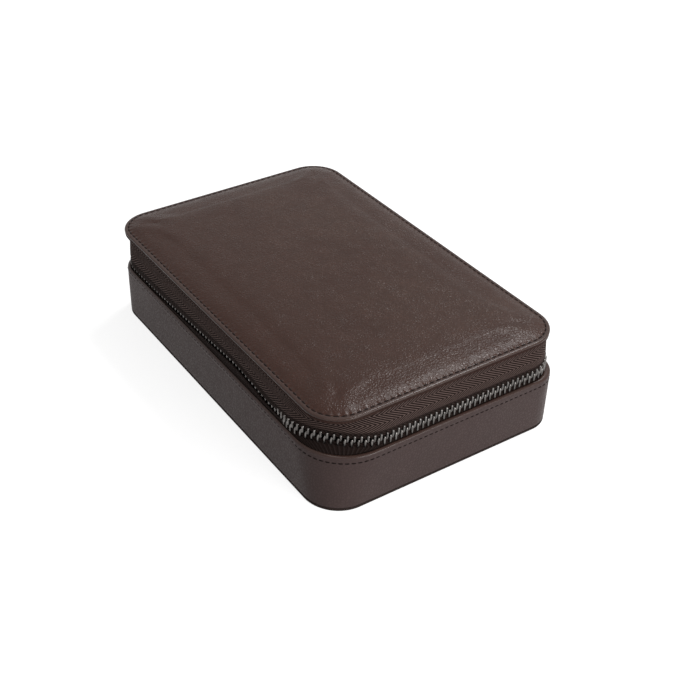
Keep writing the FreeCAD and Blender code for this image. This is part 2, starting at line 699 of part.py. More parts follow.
def zip_pull():
    """A flat blade that hangs from an eye round the bail's bow."""
    drop = "(Sizes.eye_inside - Sizes.bail_thickness / 2 - Sizes.eye_play)"
    out = f"({SLIDER_HALF} + Sizes.bail_reach)"
    eye = ring(
        "pull_eye",
        "Sizes.eye_inside + Sizes.eye_rim",
        "Sizes.eye_inside",
        "Sizes.eye_width",
        Rotation(Vector(1, 0, 0), 90),
    )
    eye.setExpression("Placement.Base.x", out)
    eye.setExpression("Placement.Base.z", f"0 - {drop}")
    body = doc.addObject("PartDesign::Body", "pull_blade")
    top = f"(0 - {drop} - Sizes.eye_inside - Sizes.eye_rim / 2)"
    outline = sketch_on(body, "pull_outline", role="YZ_Plane", level=out)
    neck, wide = "(Sizes.pull_neck / 2)", "(Sizes.pull_width / 2)"
    foot = f"({top} - Sizes.pull_length)"
    right = [
        (neck, top),
        (neck, f"({top} - Sizes.pull_length * 0.12)"),
        (wide, f"({top} - Sizes.pull_length * 0.3)"),
        (f"({wide} * 0.9)", foot),
    ]
    left = [(f"(0 - {across})", up) for across, up in reversed(right)]
    polygon(outline, right + left)
    blade = pad(body, outline, "Sizes.pull_thickness", middle=True)
    face = worth(out)
    high = worth(top)
    dress_edges(
        "Fillet",
        body,
        blade,
        "Sizes.pull_round",
        lambda edge: abs(edge.CenterOfMass.x - face) < NEAR and edge.CenterOfMass.z < high - NEAR,
    )
    hole = sketch_on(body, "pull_hole", role="YZ_Plane", level=out)
    centre = f"({foot} + 2.5 * Sizes.pull_hole)"
    circle = hole.addGeometry(Part.Circle(Vector(0, worth(centre), 0), Vector(0, 0, 1), size("pull_hole")))
    hole.addConstraint(Sketcher.Constraint("PointOnObject", circle, CENTRE, VERTICAL))
    bind(hole, "DistanceY", circle, CENTRE, *ORIGIN, to=f"(0 - {centre})")
    bind(hole, "Radius", circle, to="Sizes.pull_hole")
    pocket(body, hole, "2 * Sizes.pull_thickness", middle=True)
    pull = sub_part("Part::Fuse", "zip_pull")
    pull.Base = body
    pull.Tool = eye
    set_on_left_side(pull)


# Lid: leather leaf under the edge, board, padding, top leather, wall, lining and cushion

def lid_edge():
    slab("lid_edge_band", LID_UNDER, BAND_TOP, "Sizes.band_inset", BAND_IN)
    slab("lid_board", LID_UNDER, BAND_TOP, BAND_IN)


def padding_rings(cover):
    """Rings of the padded top, under a leather of some thickness."""
    return [
        (f"({FLANGE_TOP} - {cover})", f"(Sizes.crown_edge + {cover})"),
        (f"({SHOULDER_TOP} - {cover})", f"({SHOULDER_IN} + {cover})"),
        (f"({CROWN_TOP} - {cover})", f"({LEVEL_IN} + {cover})"),
    ]


def lid_padding():
    body = sub_part("PartDesign::Body", "lid_padding")
    cover = "Sizes.top_leather"
    foot = (BAND_TOP, f"(Sizes.crown_edge + {cover})")
    loft(body, "AdditiveLoft", "padding", [foot] + padding_rings(cover))


def lid_top_leather():
    """The top leather: a flat turned edge with a stitching groove, and a crown over the padding."""
    body = sub_part("PartDesign::Body", "lid_top_leather")
    half_turned = "(Sizes.fold_round * (1 - sqrt(0.5)))"
    edge = [
        (BAND_TOP, "0"),
        (f"({FLANGE_TOP} - Sizes.fold_round)", "0"),
        (f"({FLANGE_TOP} - {half_turned})", half_turned),
        (FLANGE_TOP, "Sizes.fold_round"),
    ]
    loft(body, "AdditiveLoft", "turned_edge", edge)
    loft(body, "AdditiveLoft", "crown", padding_rings("0"))
    cover = "Sizes.top_leather"
    foot = (BAND_TOP, f"(Sizes.crown_edge + {cover})")
    loft(body, "SubtractiveLoft", "padding_room", [foot] + padding_rings(cover))
    groove = sketch_on(body, "stitch_groove", level=FLANGE_TOP)
    rounded_loop(groove, "(Sizes.crown_edge - Sizes.groove_width)")
    rounded_loop(groove, "Sizes.crown_edge")
    pocket(body, groove, "Sizes.groove_depth")


def lid_inside():
    slab("lid_wall_board", FRAME_FOOT, LID_UNDER, FRAME_OUT, FRAME_IN, near(FRAME_OUT), near(FRAME_IN))
    slab(
        "lid_wall_lining",
        FRAME_FOOT,
        LID_UNDER,
        FRAME_IN,
        LID_LINING_IN,
        near(FRAME_IN),
        near(LID_LINING_IN),
    )
    bottom = f"({LID_UNDER} - Sizes.cushion_thickness)"
    body, block = slab("lid_cushion", bottom, LID_UNDER, CUSHION_OUT, near_outer=near(CUSHION_OUT))
    level = worth(bottom)
    dress_edges(
        "Chamfer",
        body,
        block,
        "Sizes.cushion_bevel",
        lambda edge: abs(edge.BoundBox.ZMax - level) < NEAR,
    )


base_bottom_cover()
base_outer_wall()
base_inner_shell()
dividers()
zip_tape_base()
zip_tape_lid()
spine()
teeth("lid", 1, 0.5 * size("tooth_pitch"))
teeth("base", -1, size("tooth_pitch"))
stops()
slider_body()
slider_bail()
zip_pull()
lid_edge()
lid_padding()
lid_top_leather()
lid_inside()
doc.recompute()

for item in doc.Objects:
    bad = {"Invalid", "Error"} & set(item.State)
    assert not bad, f"{item.Name} is {bad}"

os.makedirs("parts", exist_ok=True)
for piece in parts:
    shape = piece.Shape
    assert not shape.isNull() and shape.isValid(), f"{piece.Label} has no valid shape"
    assert shape.Solids and shape.Volume > 0, f"{piece.Label} is not solid"
    shape.exportStep(f"parts/{piece.Label}.step")
    print(piece.Label, len(shape.Solids), round(shape.Volume, 1))
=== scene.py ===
# %% [markdown]
# # A zip-round leather cufflink box
# The box is a stiff case covered in dark brown grained leather. A metal zip runs round three of
# its sides, and a leather strip along the back is the hinge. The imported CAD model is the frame:
# it says where each piece sits and which body carries it. This script dresses that frame, one
# piece at a time, with the shapes and finishes of the real thing.

import json
import math

import bmesh
import bpy
import numpy as np
from mathutils import Matrix, Quaternion, Vector

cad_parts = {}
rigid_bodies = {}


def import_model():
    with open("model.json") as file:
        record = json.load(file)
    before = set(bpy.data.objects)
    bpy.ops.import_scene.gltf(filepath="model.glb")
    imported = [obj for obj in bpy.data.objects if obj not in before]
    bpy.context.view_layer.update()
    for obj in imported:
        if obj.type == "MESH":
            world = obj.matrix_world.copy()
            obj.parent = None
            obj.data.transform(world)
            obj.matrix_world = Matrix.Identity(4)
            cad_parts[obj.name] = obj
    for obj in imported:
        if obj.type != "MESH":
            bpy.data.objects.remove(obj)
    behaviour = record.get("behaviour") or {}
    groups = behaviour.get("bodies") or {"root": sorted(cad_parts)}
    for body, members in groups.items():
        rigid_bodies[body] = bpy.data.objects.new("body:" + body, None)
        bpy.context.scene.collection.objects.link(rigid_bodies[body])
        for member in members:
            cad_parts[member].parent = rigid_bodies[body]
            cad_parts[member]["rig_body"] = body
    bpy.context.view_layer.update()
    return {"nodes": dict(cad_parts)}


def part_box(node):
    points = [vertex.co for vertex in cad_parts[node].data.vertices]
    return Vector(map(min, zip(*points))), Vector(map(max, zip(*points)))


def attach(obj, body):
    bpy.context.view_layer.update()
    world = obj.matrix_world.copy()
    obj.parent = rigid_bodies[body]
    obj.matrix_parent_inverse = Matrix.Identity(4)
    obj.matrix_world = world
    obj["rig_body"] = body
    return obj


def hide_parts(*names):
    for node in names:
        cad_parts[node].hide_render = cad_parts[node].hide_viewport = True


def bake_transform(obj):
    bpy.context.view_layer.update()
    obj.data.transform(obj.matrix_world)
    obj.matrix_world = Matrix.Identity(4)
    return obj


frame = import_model()
nodes = frame["nodes"]

# %% [markdown]
# The sizes are in millimetres, because that is how a case maker thinks, and they are turned into
# metres where a mesh is made. Levels come from the CAD nodes, so they can't drift from the frame.
# An inset is a step in from the lid's outline, which is the box's plan: a rectangle with
# rounded corners. The zip sweeps wider than that round the front right corner.

# %% Sizes and levels
MM = 0.001
LENGTH = 175.0
WIDTH = 114.0
CORNER = 15.0
RIM_CORNER = 22.0
SWEEP = 29.0
TAPE_MID = 1.2
WALL_OUT = -0.4
WALL_IN = 0.9


def low(node):
    """A node's lowest level, in millimetres."""
    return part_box(node)[0].z / MM


def high(node):
    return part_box(node)[1].z / MM


WALL_FOOT = low("base_outer_wall")
RIM = high("base_outer_wall") + 1.2
CHAIN = (high("zip_tape_base") + low("zip_tape_lid")) / 2
LID_UNDER = low("lid_edge_band")
BAND_TOP = high("lid_edge_band")
TOP = high("lid_top_leather")
FLANGE = TOP - 1.3
print(f"rim {RIM:.1f}, chain {CHAIN:.1f}, lid from {LID_UNDER:.1f} to {TOP:.1f} mm")

# %% [markdown]
# Nearly every piece follows the same plan, so one helper gives the plan's points at any inset.
# It starts at the middle of the back, where a seam is hidden, and always returns as many points
# as before, so two outlines can be joined point to point. The zip tape stops short of the
# hinge strip: with an opening, the outline starts and ends that far from the middle.


# %% Outlines
def sweep_radius(level, inset):
    """Radius of the wide sweep of the zip and the lid's inner wall. It is the same at all levels."""
    return SWEEP + TAPE_MID - inset


def base_corner(level, inset):
    """Radius of the base's front right corner, which widens from the foot of its wall to the rim."""
    share = (level - WALL_FOOT) / (RIM - WALL_FOOT)
    return CORNER + (RIM_CORNER - CORNER) * share - inset


def outline(inset, near=None, opening=0.0, arc=12, long=32, short=22, corner=CORNER):
    """Points of the plan, anticlockwise from the back. near is the front right corner's radius."""
    half_x, half_y = LENGTH / 2 - inset, WIDTH / 2 - inset
    plain = max(corner - inset, 1.0)
    corners = [(-1, 1, 90, plain), (-1, -1, 180, plain), (1, -1, 270, near or plain), (1, 1, 0, plain)]
    stops = []
    for side_x, side_y, start, radius in corners:
        turn = np.radians(np.linspace(start, start + 90, arc + 1))
        centre = [side_x * (half_x - radius), side_y * (half_y - radius)]
        stops.append(np.column_stack([np.cos(turn), np.sin(turn)]) * radius + centre)
    stops.append(np.array([[opening, half_y]]))
    points = [np.array([-opening, half_y])]
    for stop, steps in zip(stops, [long // 2, short, long, short, long // 2]):
        points.extend(np.linspace(points[-1], stop[0], steps + 1)[1:-1])
        points.extend(stop)
    return np.array(points[:-1] if opening == 0 else points)


def ring(level, inset, near=None, **shape):
    """An outline at a level."""
    flat = outline(inset, near, **shape)
    return np.column_stack([flat, np.full(len(flat), level)])


def lengths(points):
    """Distance travelled at each point of a line."""
    steps = np.linalg.norm(np.diff(points, axis=0), axis=1)
    return np.concatenate([[0], np.cumsum(steps)])


# %% The zip's slack
DIP_PLACES = (-87.5, -80.0, -50.0, -30.0, -10.0, 5.0, 20.0, 33.0, 45.0, 56.0, 65.0, 76.0)
DIPS = (2.0, 3.0, 2.6, 1.5, 0.4, -0.6, -1.4, -0.2, 1.2, 0.9, 0.0, -1.1)
SIDE_DIP = 0.4


def front_share(points):
    """One along the long front side, falling to nothing round its two corners."""
    share = np.clip((-WIDTH / 2 + CORNER + 12 - points[:, 1]) / (CORNER + 8), 0, 1)
    return share * share * (3 - 2 * share)


def dip(points):
    """How far the slack zip hangs below its level: along the front it hangs in slow waves."""
    front = np.interp(points[:, 0], DIP_PLACES, DIPS)
    side = np.where(points[:, 0] > 0, SIDE_DIP, 0.0)
    return side + (front - side) * front_share(points)


def tuck(points):
    """The share by which the teeth hide behind the tape's edge, along the front."""
    return front_share(points) * np.interp(points[:, 0], (-84, -74, 46, 62), (0.3, 1.0, 1.0, 0.0))


print("outline of", len(outline(0)), "points")

# %% [markdown]
# A skin joins rings of points with quads. Rings that go up the outside and then inwards over the
# top give faces that look outwards. Each skin also gets a UV map in millimetres: across is the
# way round the box and up is the way over the profile, so a weave or a row of puckers can
# follow the piece, whatever its shape.


# %% Skins
def face_outwards(mesh):
    """Turn a closed mesh's faces so that they all look outwards."""
    solid = bmesh.new()
    solid.from_mesh(mesh)
    bmesh.ops.recalc_face_normals(solid, faces=solid.faces)
    solid.to_mesh(mesh)
    solid.free()


def mesh_object(name, points, faces, finish, laid=None):
    """A smooth mesh from points in millimetres, with an optional UV pair for each face corner."""
    mesh = bpy.data.meshes.new(name)
    mesh.from_pydata((np.asarray(points) * MM).tolist(), [], faces)
    if laid is not None:
        mesh.uv_layers.new(name="laid").data.foreach_set("uv", np.asarray(laid, float).ravel())
    if len(faces) > 1:
        face_outwards(mesh)
    mesh.shade_smooth()
    mesh.materials.append(finish)
    piece = bpy.data.objects.new(name, mesh)
    bpy.context.scene.collection.objects.link(piece)
    return piece


def cap_grid(edge, arc, long, short):
    """Fill a closed outline with a grid, bending each side's shape towards the opposite one."""
    half = long // 2
    turns = [half + arc // 2, half + arc + short + arc // 2]
    turns += [turns[1] + arc + long, turns[1] + 2 * arc + long + short]
    back_left, front_left, front_right, back_right = turns
    count = len(edge)
    front = np.arange(front_left, front_right + 1)
    back = np.arange(back_right, back_left + count + 1)[::-1] % count
    left = np.arange(back_left, front_left + 1)[::-1]
    right = np.arange(front_right, back_right + 1)
    u = np.linspace(0, 1, len(front))[:, None, None]
    v = np.linspace(0, 1, len(left))[None, :, None]
    sides = (1 - v) * edge[front][:, None] + v * edge[back][:, None]
    sides = sides + (1 - u) * edge[left][None] + u * edge[right][None]
    corners = (1 - u) * (1 - v) * edge[front_left] + u * (1 - v) * edge[front_right]
    corners = corners + (1 - u) * v * edge[back_left] + u * v * edge[back_right]
    index = np.zeros((len(front), len(left)), int)
    index[:, 0], index[:, -1], index[0, :], index[-1, :] = front, back, left, right
    return (sides - corners)[1:-1, 1:-1], index


def fill_ring(points, start, count, steps):
    """The points with a grid's inner points added, and the faces that fill one ring with the grid."""
    inner, index = cap_grid(points[start : start + count], *steps)
    index += start
    index[1:-1, 1:-1] = np.arange(inner[..., 0].size).reshape(inner.shape[:2]) + len(points)
    faces = np.stack([index[:-1, :-1], index[1:, :-1], index[1:, 1:], index[:-1, 1:]], -1)
    return np.vstack([points, inner.reshape(-1, 3)]), [tuple(face) for face in faces.reshape(-1, 4)]


def skin(name, rings, finish, wrap=True, loop=False, ends=None, guide=0):
    """A surface through rings. wrap closes each ring and loop joins the last ring to the first one.
    ends fills the first and the last ring, "flat" or with a grid of (arc, long, short) steps. guide
    is the ring along which the way round is measured."""
    rings = [np.asarray(r, float) for r in rings]
    count = len(rings[0])
    across = lengths(np.vstack([rings[guide], rings[guide][:1]]))
    over = lengths(np.array([r[count // 3] for r in rings + rings[:1]]))
    points = np.vstack(rings)
    faces, laid = [], []
    for row in range(len(rings) if loop else len(rings) - 1):
        upper = (row + 1) % len(rings)
        for column in range(count if wrap else count - 1):
            following = (column + 1) % count
            first, second = row * count, upper * count
            faces.append((first + column, first + following, second + following, second + column))
            start, end = across[column], across[column + 1]
            laid += [(start, over[row]), (end, over[row]), (end, over[row + 1]), (start, over[row + 1])]
    if not wrap:
        for column, order in ((0, 1), (count - 1, -1)):
            end = [row * count + column for row in range(len(rings))][:: -order]
            faces.append(tuple(end))
            laid += [(across[column], over[row]) for row in range(len(rings))]
    for start in (0, count * (len(rings) - 1)) if ends else ():
        filling = [tuple(range(start, start + count))]
        if ends != "flat":
            points, filling = fill_ring(points, start, count, ends)
        faces += filling
        laid += [(0.0, over[start // count])] * sum(len(face) for face in filling)
    return mesh_object(name, points, [tuple(int(n) for n in face) for face in faces], finish, laid)


# %% The lid's profile
LID_GRID = dict(arc=16, long=44, short=30)
SEAM_INSET = 1.85
LID_PROFILE = [
    (3.6, BAND_TOP),
    (1.0, BAND_TOP),
    (0.35, BAND_TOP + 0.02),
    (0.1, BAND_TOP + 0.15),
    (0.0, BAND_TOP + 0.4),
    (0.02, FLANGE - 0.95),
    (0.1, FLANGE - 0.7),
    (0.3, FLANGE - 0.5),
    (0.6, FLANGE - 0.43),
    (1.1, FLANGE - 0.4),
    (1.45, FLANGE - 0.38),
    (1.65, FLANGE - 0.44),
    (SEAM_INSET, FLANGE - 0.52),
    (2.05, FLANGE - 0.38),
]
HELD_RINGS = len(LID_PROFILE)
CROWN_FROM, CROWN_RISE, CROWN_SOFTNESS = 2.1, 1.6, 3.2
for step in (2.25, 2.5, 2.9, 3.5, 4.3, 5.3, 6.6, 8.2, 10.2, 12.5):
    rise = CROWN_RISE * (1 - math.exp((CROWN_FROM - step) / CROWN_SOFTNESS))
    LID_PROFILE.append((step, FLANGE - 0.3 + rise))
SEAM_ROW = [inset for inset, level in LID_PROFILE].index(SEAM_INSET)
LID_SEAM_OVER = lengths(np.array(LID_PROFILE))[SEAM_ROW]
SEAM_AROUND = lengths(np.vstack([outline(SEAM_INSET, **LID_GRID), outline(SEAM_INSET)[:1]]))[-1]
LID_STITCHES = round(SEAM_AROUND / 3.0)
LID_STITCH = SEAM_AROUND / LID_STITCHES
print(f"{LID_STITCHES} stitches of {LID_STITCH:.2f} mm")

# %% [markdown]
# Finishes come before pieces, because each piece is handed its finish when it is made. What more
# than one finish needs is a shader group. The leather's grain is small rounded pebbles with
# creases between them: a Voronoi pattern gives the cells, and noise bends them so that they
# never look like a net. Real hide is also unevenly dyed, so a second group gives broad patches.


# %% Shader group helpers
def group(name, inputs, outputs):
    """An empty shader group. inputs are (name, default); outputs are the names of float outputs."""
    tree = bpy.data.node_groups.new(name, "ShaderNodeTree")
    for label, value in inputs:
        kind = "NodeSocketVector" if value is None else "NodeSocketFloat"
        socket = tree.interface.new_socket(name=label, in_out="INPUT", socket_type=kind)
        if value is not None:
            socket.default_value = value
    for label in outputs:
        tree.interface.new_socket(name=label, in_out="OUTPUT", socket_type="NodeSocketFloat")
    return tree, tree.nodes.new("NodeGroupInput").outputs, tree.nodes.new("NodeGroupOutput").inputs


def put(socket, value):
    """Feed a socket from another one, or set it to a value."""
    if isinstance(value, bpy.types.NodeSocket):
        socket.id_data.links.new(value, socket)
    else:
        socket.default_value = value


def math_node(tree, operation, *values):
    node = tree.nodes.new("ShaderNodeMath")
    node.operation = operation
    for socket, value in zip(node.inputs, values):
        put(socket, value)
    return node.outputs[0]


def scaled(tree, vector, scale):
    """A place multiplied by a number or by another socket."""
    node = tree.nodes.new("ShaderNodeVectorMath")
    node.operation = "SCALE"
    put(node.inputs[0], vector)
    put(node.inputs["Scale"], scale)
    return node.outputs[0]


def noise(tree, place, scale, detail=2.0, roughness=0.5, distortion=0.0):
    node = tree.nodes.new("ShaderNodeTexNoise")
    put(node.inputs["Vector"], place)
    put(node.inputs["Scale"], scale)
    put(node.inputs["Detail"], detail)
    put(node.inputs["Roughness"], roughness)
    put(node.inputs["Distortion"], distortion)
    return node.outputs["Fac"]


def ramp(tree, value, low_in, high_in, low_out=0.0, high_out=1.0, smooth=False):
    """Map a range of a value to another range, and hold it there."""
    node = tree.nodes.new("ShaderNodeMapRange")
    node.interpolation_type = "SMOOTHSTEP" if smooth else "LINEAR"
    for socket, number in zip(node.inputs, (value, low_in, high_in, low_out, high_out)):
        put(socket, number)
    return node.outputs[0]


# %% Leather grain, patches and weave groups
def leather_grain():
    """Pebbled grain. Cell is the pebbles' size in metres."""
    tree, given, out = group("Leather grain", [("Place", None), ("Cell", 0.001)], ["Height", "Crease"])
    per_cell = math_node(tree, "DIVIDE", 1.0, given["Cell"])
    place = scaled(tree, given["Place"], per_cell)
    bend = tree.nodes.new("ShaderNodeTexNoise")
    put(bend.inputs["Vector"], place)
    put(bend.inputs["Scale"], 0.9)
    moved = tree.nodes.new("ShaderNodeVectorMath")
    moved.operation = "MULTIPLY_ADD"
    put(moved.inputs[0], bend.outputs["Color"])
    put(moved.inputs[1], (0.9, 0.9, 0.9))
    put(moved.inputs[2], place)
    cells = tree.nodes.new("ShaderNodeTexVoronoi")
    cells.feature = "DISTANCE_TO_EDGE"
    put(cells.inputs["Vector"], moved.outputs[0])
    put(cells.inputs["Scale"], 1.0)
    pebble = ramp(tree, cells.outputs["Distance"], 0.0, 0.32, smooth=True)
    fine = noise(tree, place, 2.6, 3.0, 0.6)
    broad = noise(tree, place, 0.22, 2.0)
    soft = ramp(tree, broad, 0.35, 0.65, 0.45, 1.0)
    height = math_node(tree, "MULTIPLY", pebble, soft)
    height = math_node(tree, "MULTIPLY_ADD", noise(tree, place, 0.3, 2.0), 2.0, height)
    put(out["Height"], math_node(tree, "MULTIPLY_ADD", fine, 0.55, height))
    put(out["Crease"], math_node(tree, "SUBTRACT", 1.0, pebble))
    return tree


def dye_patches():
    """Broad uneven patches of dye, and a fainter cloud of small ones."""
    tree, given, out = group("Dye patches", [("Place", None), ("Size", 0.03)], ["Patch", "Cloud"])
    per_patch = math_node(tree, "DIVIDE", 1.0, given["Size"])
    place = scaled(tree, given["Place"], per_patch)
    put(out["Patch"], ramp(tree, noise(tree, place, 1.0, 3.0, 0.55, 0.4), 0.36, 0.68, smooth=True))
    put(out["Cloud"], noise(tree, place, 5.0, 4.0, 0.6))
    return tree


def herringbone():
    """Twill lines that lean one way in one band of the tape and the other way in the next."""
    inputs = [("Place", None), ("Line", 1.9), ("Band", 4.6)]
    tree, given, out = group("Herringbone", inputs, ["Height", "Shade"])
    parts = tree.nodes.new("ShaderNodeSeparateXYZ")
    put(parts.inputs[0], given["Place"])
    along, up = parts.outputs[0], parts.outputs[1]
    half_band = math_node(tree, "DIVIDE", given["Band"], 2.0)
    zigzag = math_node(tree, "PINGPONG", math_node(tree, "ADD", up, half_band), given["Band"])
    lean = math_node(tree, "MULTIPLY_ADD", zigzag, 1.7, along)
    phase = math_node(tree, "DIVIDE", lean, given["Line"])
    wave = math_node(tree, "SINE", math_node(tree, "MULTIPLY", phase, math.tau))
    ridge = ramp(tree, wave, -0.3, 0.7)
    yarn = math_node(tree, "SINE", math_node(tree, "MULTIPLY", up, math.tau / 0.55))
    put(out["Height"], math_node(tree, "MULTIPLY_ADD", yarn, 0.12, ridge))
    put(out["Shade"], ridge)
    return tree


GRAIN = leather_grain()
PATCHES = dye_patches()
WEAVE = herringbone()
print("groups:", ", ".join(tree.name for tree in (GRAIN, PATCHES, WEAVE)))


# %% [markdown]
# A finish is a Principled BSDF with plain numbers set on it, and groups that feed its colour,
# its roughness and its bump. Colours are mixed between a darker one in the patches and a lighter
# one on the pebbles, and the creases are darkened as painted shade.


# %% Finish helpers
def finish(name, **numbers):
    """A material whose Principled BSDF has these plain numbers, and the tree that it sits in."""
    made = bpy.data.materials.new(name)
    made.use_nodes = True
    tree = made.node_tree
    shader = tree.nodes["Principled BSDF"]
    for label, value in numbers.items():
        shader.inputs[label.replace("_", " ")].default_value = value
    return made, tree, shader


def use(tree, source, **given):
    """Place a shared group in a material with its own values."""
    node = tree.nodes.new("ShaderNodeGroup")
    node.node_tree = source
    for label, value in given.items():
        put(node.inputs[label], value)
    return node.outputs


def object_place(tree):
    return tree.nodes.new("ShaderNodeTexCoord").outputs["Object"]


def laid_place(tree):
    """The piece's own UV map, in millimetres round and over it."""
    node = tree.nodes.new("ShaderNodeUVMap")
    node.uv_map = "laid"
    return node.outputs[0]


def mix(tree, share, first, second):
    """A colour between two, each a socket or three numbers."""
    node = tree.nodes.new("ShaderNodeMix")
    node.data_type = "RGBA"
    put(node.inputs["Factor"], share)
    for label, colour in (("A", first), ("B", second)):
        socket = next(s for s in node.inputs if s.name == label and s.type == "RGBA")
        put(socket, colour if isinstance(colour, bpy.types.NodeSocket) else (*colour, 1.0))
    return next(s for s in node.outputs if s.type == "RGBA")


def bump(tree, shader, height, depth):
    """Feed a height to the shader's normal. depth is in metres for a height of one."""
    node = tree.nodes.new("ShaderNodeBump")
    node.inputs["Strength"].default_value = 1.0
    node.inputs["Distance"].default_value = depth
    put(node.inputs["Height"], height)
    put(shader.inputs["Normal"], node.outputs[0])


# %% Leather finishes
def puckers(tree, height, line, pitch, depth):
    """Add the small bulges between the holes of a row of stitches, which fade inwards. line is how
    far over the profile the stitches lie; depth is a share of the grain's."""
    parts = tree.nodes.new("ShaderNodeSeparateXYZ")
    put(parts.inputs[0], laid_place(tree))
    wave = math_node(tree, "COSINE", math_node(tree, "MULTIPLY", parts.outputs[0], math.tau / pitch))
    fade = ramp(tree, parts.outputs[1], line + 0.1, line + 2.6, 1.0, 0.0, smooth=True)
    inside = math_node(tree, "GREATER_THAN", parts.outputs[1], line)
    bulge = math_node(tree, "MULTIPLY", wave, math_node(tree, "MULTIPLY", fade, inside))
    return math_node(tree, "MULTIPLY_ADD", bulge, -depth, height)


def leather(name, light, dark, red, cell=0.0011, depth=0.00006, rough=(0.42, 0.58), front=0.0, seam=None, **numbers):
    """Grained leather: patches are darker and some are redder, and creases are darkened as painted
    shade. front is how much darker and redder the long front side is painted than the back, as
    painted shade, and seam is the row of stitches that puckers it."""
    made, tree, shader = finish(name, **numbers)
    place = object_place(tree)
    grain = use(tree, GRAIN, Place=place, Cell=cell)
    dye = use(tree, PATCHES, Place=place, Size=0.045)
    parts = tree.nodes.new("ShaderNodeSeparateXYZ")
    put(parts.inputs[0], place)
    # painted shade: the top is painted darker and redder towards the long front side
    painted_front_shade = ramp(tree, parts.outputs[1], -0.055, 0.035, front, 0.0, smooth=True)
    tone = mix(tree, math_node(tree, "MAXIMUM", dye["Patch"], painted_front_shade), light, red)
    cloud = ramp(tree, dye["Cloud"], 0.3, 0.7, 0.0, 0.45)
    tone = mix(tree, cloud, tone, dark)
    # painted shade: the creases between the pebbles are darkened towards the dark colour
    put(shader.inputs["Base Color"], mix(tree, ramp(tree, grain["Crease"], 0.2, 1.0, 0.0, 0.55), tone, dark))
    put(shader.inputs["Roughness"], ramp(tree, grain["Crease"], 0.0, 1.0, *rough))
    height = puckers(tree, grain["Height"], *seam) if seam else grain["Height"]
    bump(tree, shader, height, depth)
    return made


TOP_LEATHER = leather(
    "top leather",
    light=(0.054, 0.029, 0.022),
    dark=(0.027, 0.0135, 0.010),
    red=(0.038, 0.0165, 0.012),
    cell=0.0013,
    depth=0.00007,
    rough=(0.20, 0.32),
    # painted shade of the front side, darker and redder than the back
    front=0.9,
    seam=(LID_SEAM_OVER, LID_STITCH, 1.2),
    Specular_IOR_Level=0.09,
)
WALL_LEATHER = leather(
    "wall leather",
    light=(0.050, 0.034, 0.032),
    dark=(0.035, 0.0235, 0.022),
    red=(0.046, 0.030, 0.0285),
    cell=0.0013,
    depth=0.00004,
    rough=(0.42, 0.56),
    Specular_IOR_Level=0.11,
)
EDGE_LEATHER = leather(
    "turned edge leather",
    light=(0.046, 0.027, 0.021),
    dark=(0.028, 0.015, 0.012),
    red=(0.042, 0.021, 0.016),
    depth=0.00002,
    rough=(0.2, 0.28),
    Specular_IOR_Level=0.16,
)
# painted shade: the leaf under the lid's edge is a darker copy of the turned edge leather, for the shade under the
# fold
SHADED_LEAF_LEATHER = leather(
    "dark leaf leather",
    light=(0.036, 0.021, 0.017),
    dark=(0.020, 0.011, 0.009),
    red=(0.032, 0.016, 0.013),
    depth=0.00002,
    rough=(0.5, 0.6),
    Specular_IOR_Level=0.02,
)
# painted shade: the bottom leaf is painted much darker than the wall, for the shade along the foot
SHADED_BOTTOM_LEATHER = leather(
    "bottom leather",
    light=(0.022, 0.015, 0.013),
    dark=(0.014, 0.009, 0.008),
    red=(0.020, 0.013, 0.011),
    depth=0.00002,
    rough=(0.5, 0.6),
    Specular_IOR_Level=0.05,
)

# %% Thread, tape, metal, suede and board finishes
def thread_finish():
    made, tree, shader = finish("stitching thread", Specular_IOR_Level=0.05)
    twist = noise(tree, object_place(tree), 2600.0, 1.0)
    put(shader.inputs["Base Color"], mix(tree, twist, (0.005, 0.003, 0.003), (0.014, 0.009, 0.008)))
    put(shader.inputs["Roughness"], ramp(tree, twist, 0.0, 1.0, 0.6, 0.85))
    bump(tree, shader, twist, 0.0001)
    return made


def tape_finish(name, dark, light):
    """Dark brown woven tape, with a plain edge beside the teeth that is also darkened as painted shade."""
    made, tree, shader = finish(name, Specular_IOR_Level=0.05)
    place = laid_place(tree)
    weave = use(tree, WEAVE, Place=place)
    parts = tree.nodes.new("ShaderNodeSeparateXYZ")
    put(parts.inputs[0], place)
    # beside the teeth the weave's light lines fade out: a plain cord edge, darkened also as painted shade
    woven = math_node(tree, "MULTIPLY", weave["Shade"], ramp(tree, parts.outputs[1], 2.7, 3.4, 0.12, 1.0))
    dust = noise(tree, object_place(tree), 900.0, 3.0)
    tone = mix(tree, woven, dark, light)
    put(shader.inputs["Base Color"], mix(tree, ramp(tree, dust, 0.3, 0.7, 0.0, 0.3), tone, dark))
    put(shader.inputs["Roughness"], ramp(tree, weave["Shade"], 0.0, 1.0, 0.9, 0.7))
    bump(tree, shader, weave["Height"], 0.00018)
    return made


def metal_finish(name, light, dark, rough):
    made, tree, shader = finish(name, Metallic=1.0)
    place = object_place(tree)
    worn = noise(tree, place, 420.0, 4.0, 0.6)
    put(shader.inputs["Base Color"], mix(tree, ramp(tree, worn, 0.35, 0.7), dark, light))
    put(shader.inputs["Roughness"], ramp(tree, worn, 0.3, 0.7, *rough))
    bump(tree, shader, noise(tree, place, 1800.0, 2.0), 0.00002)
    return made


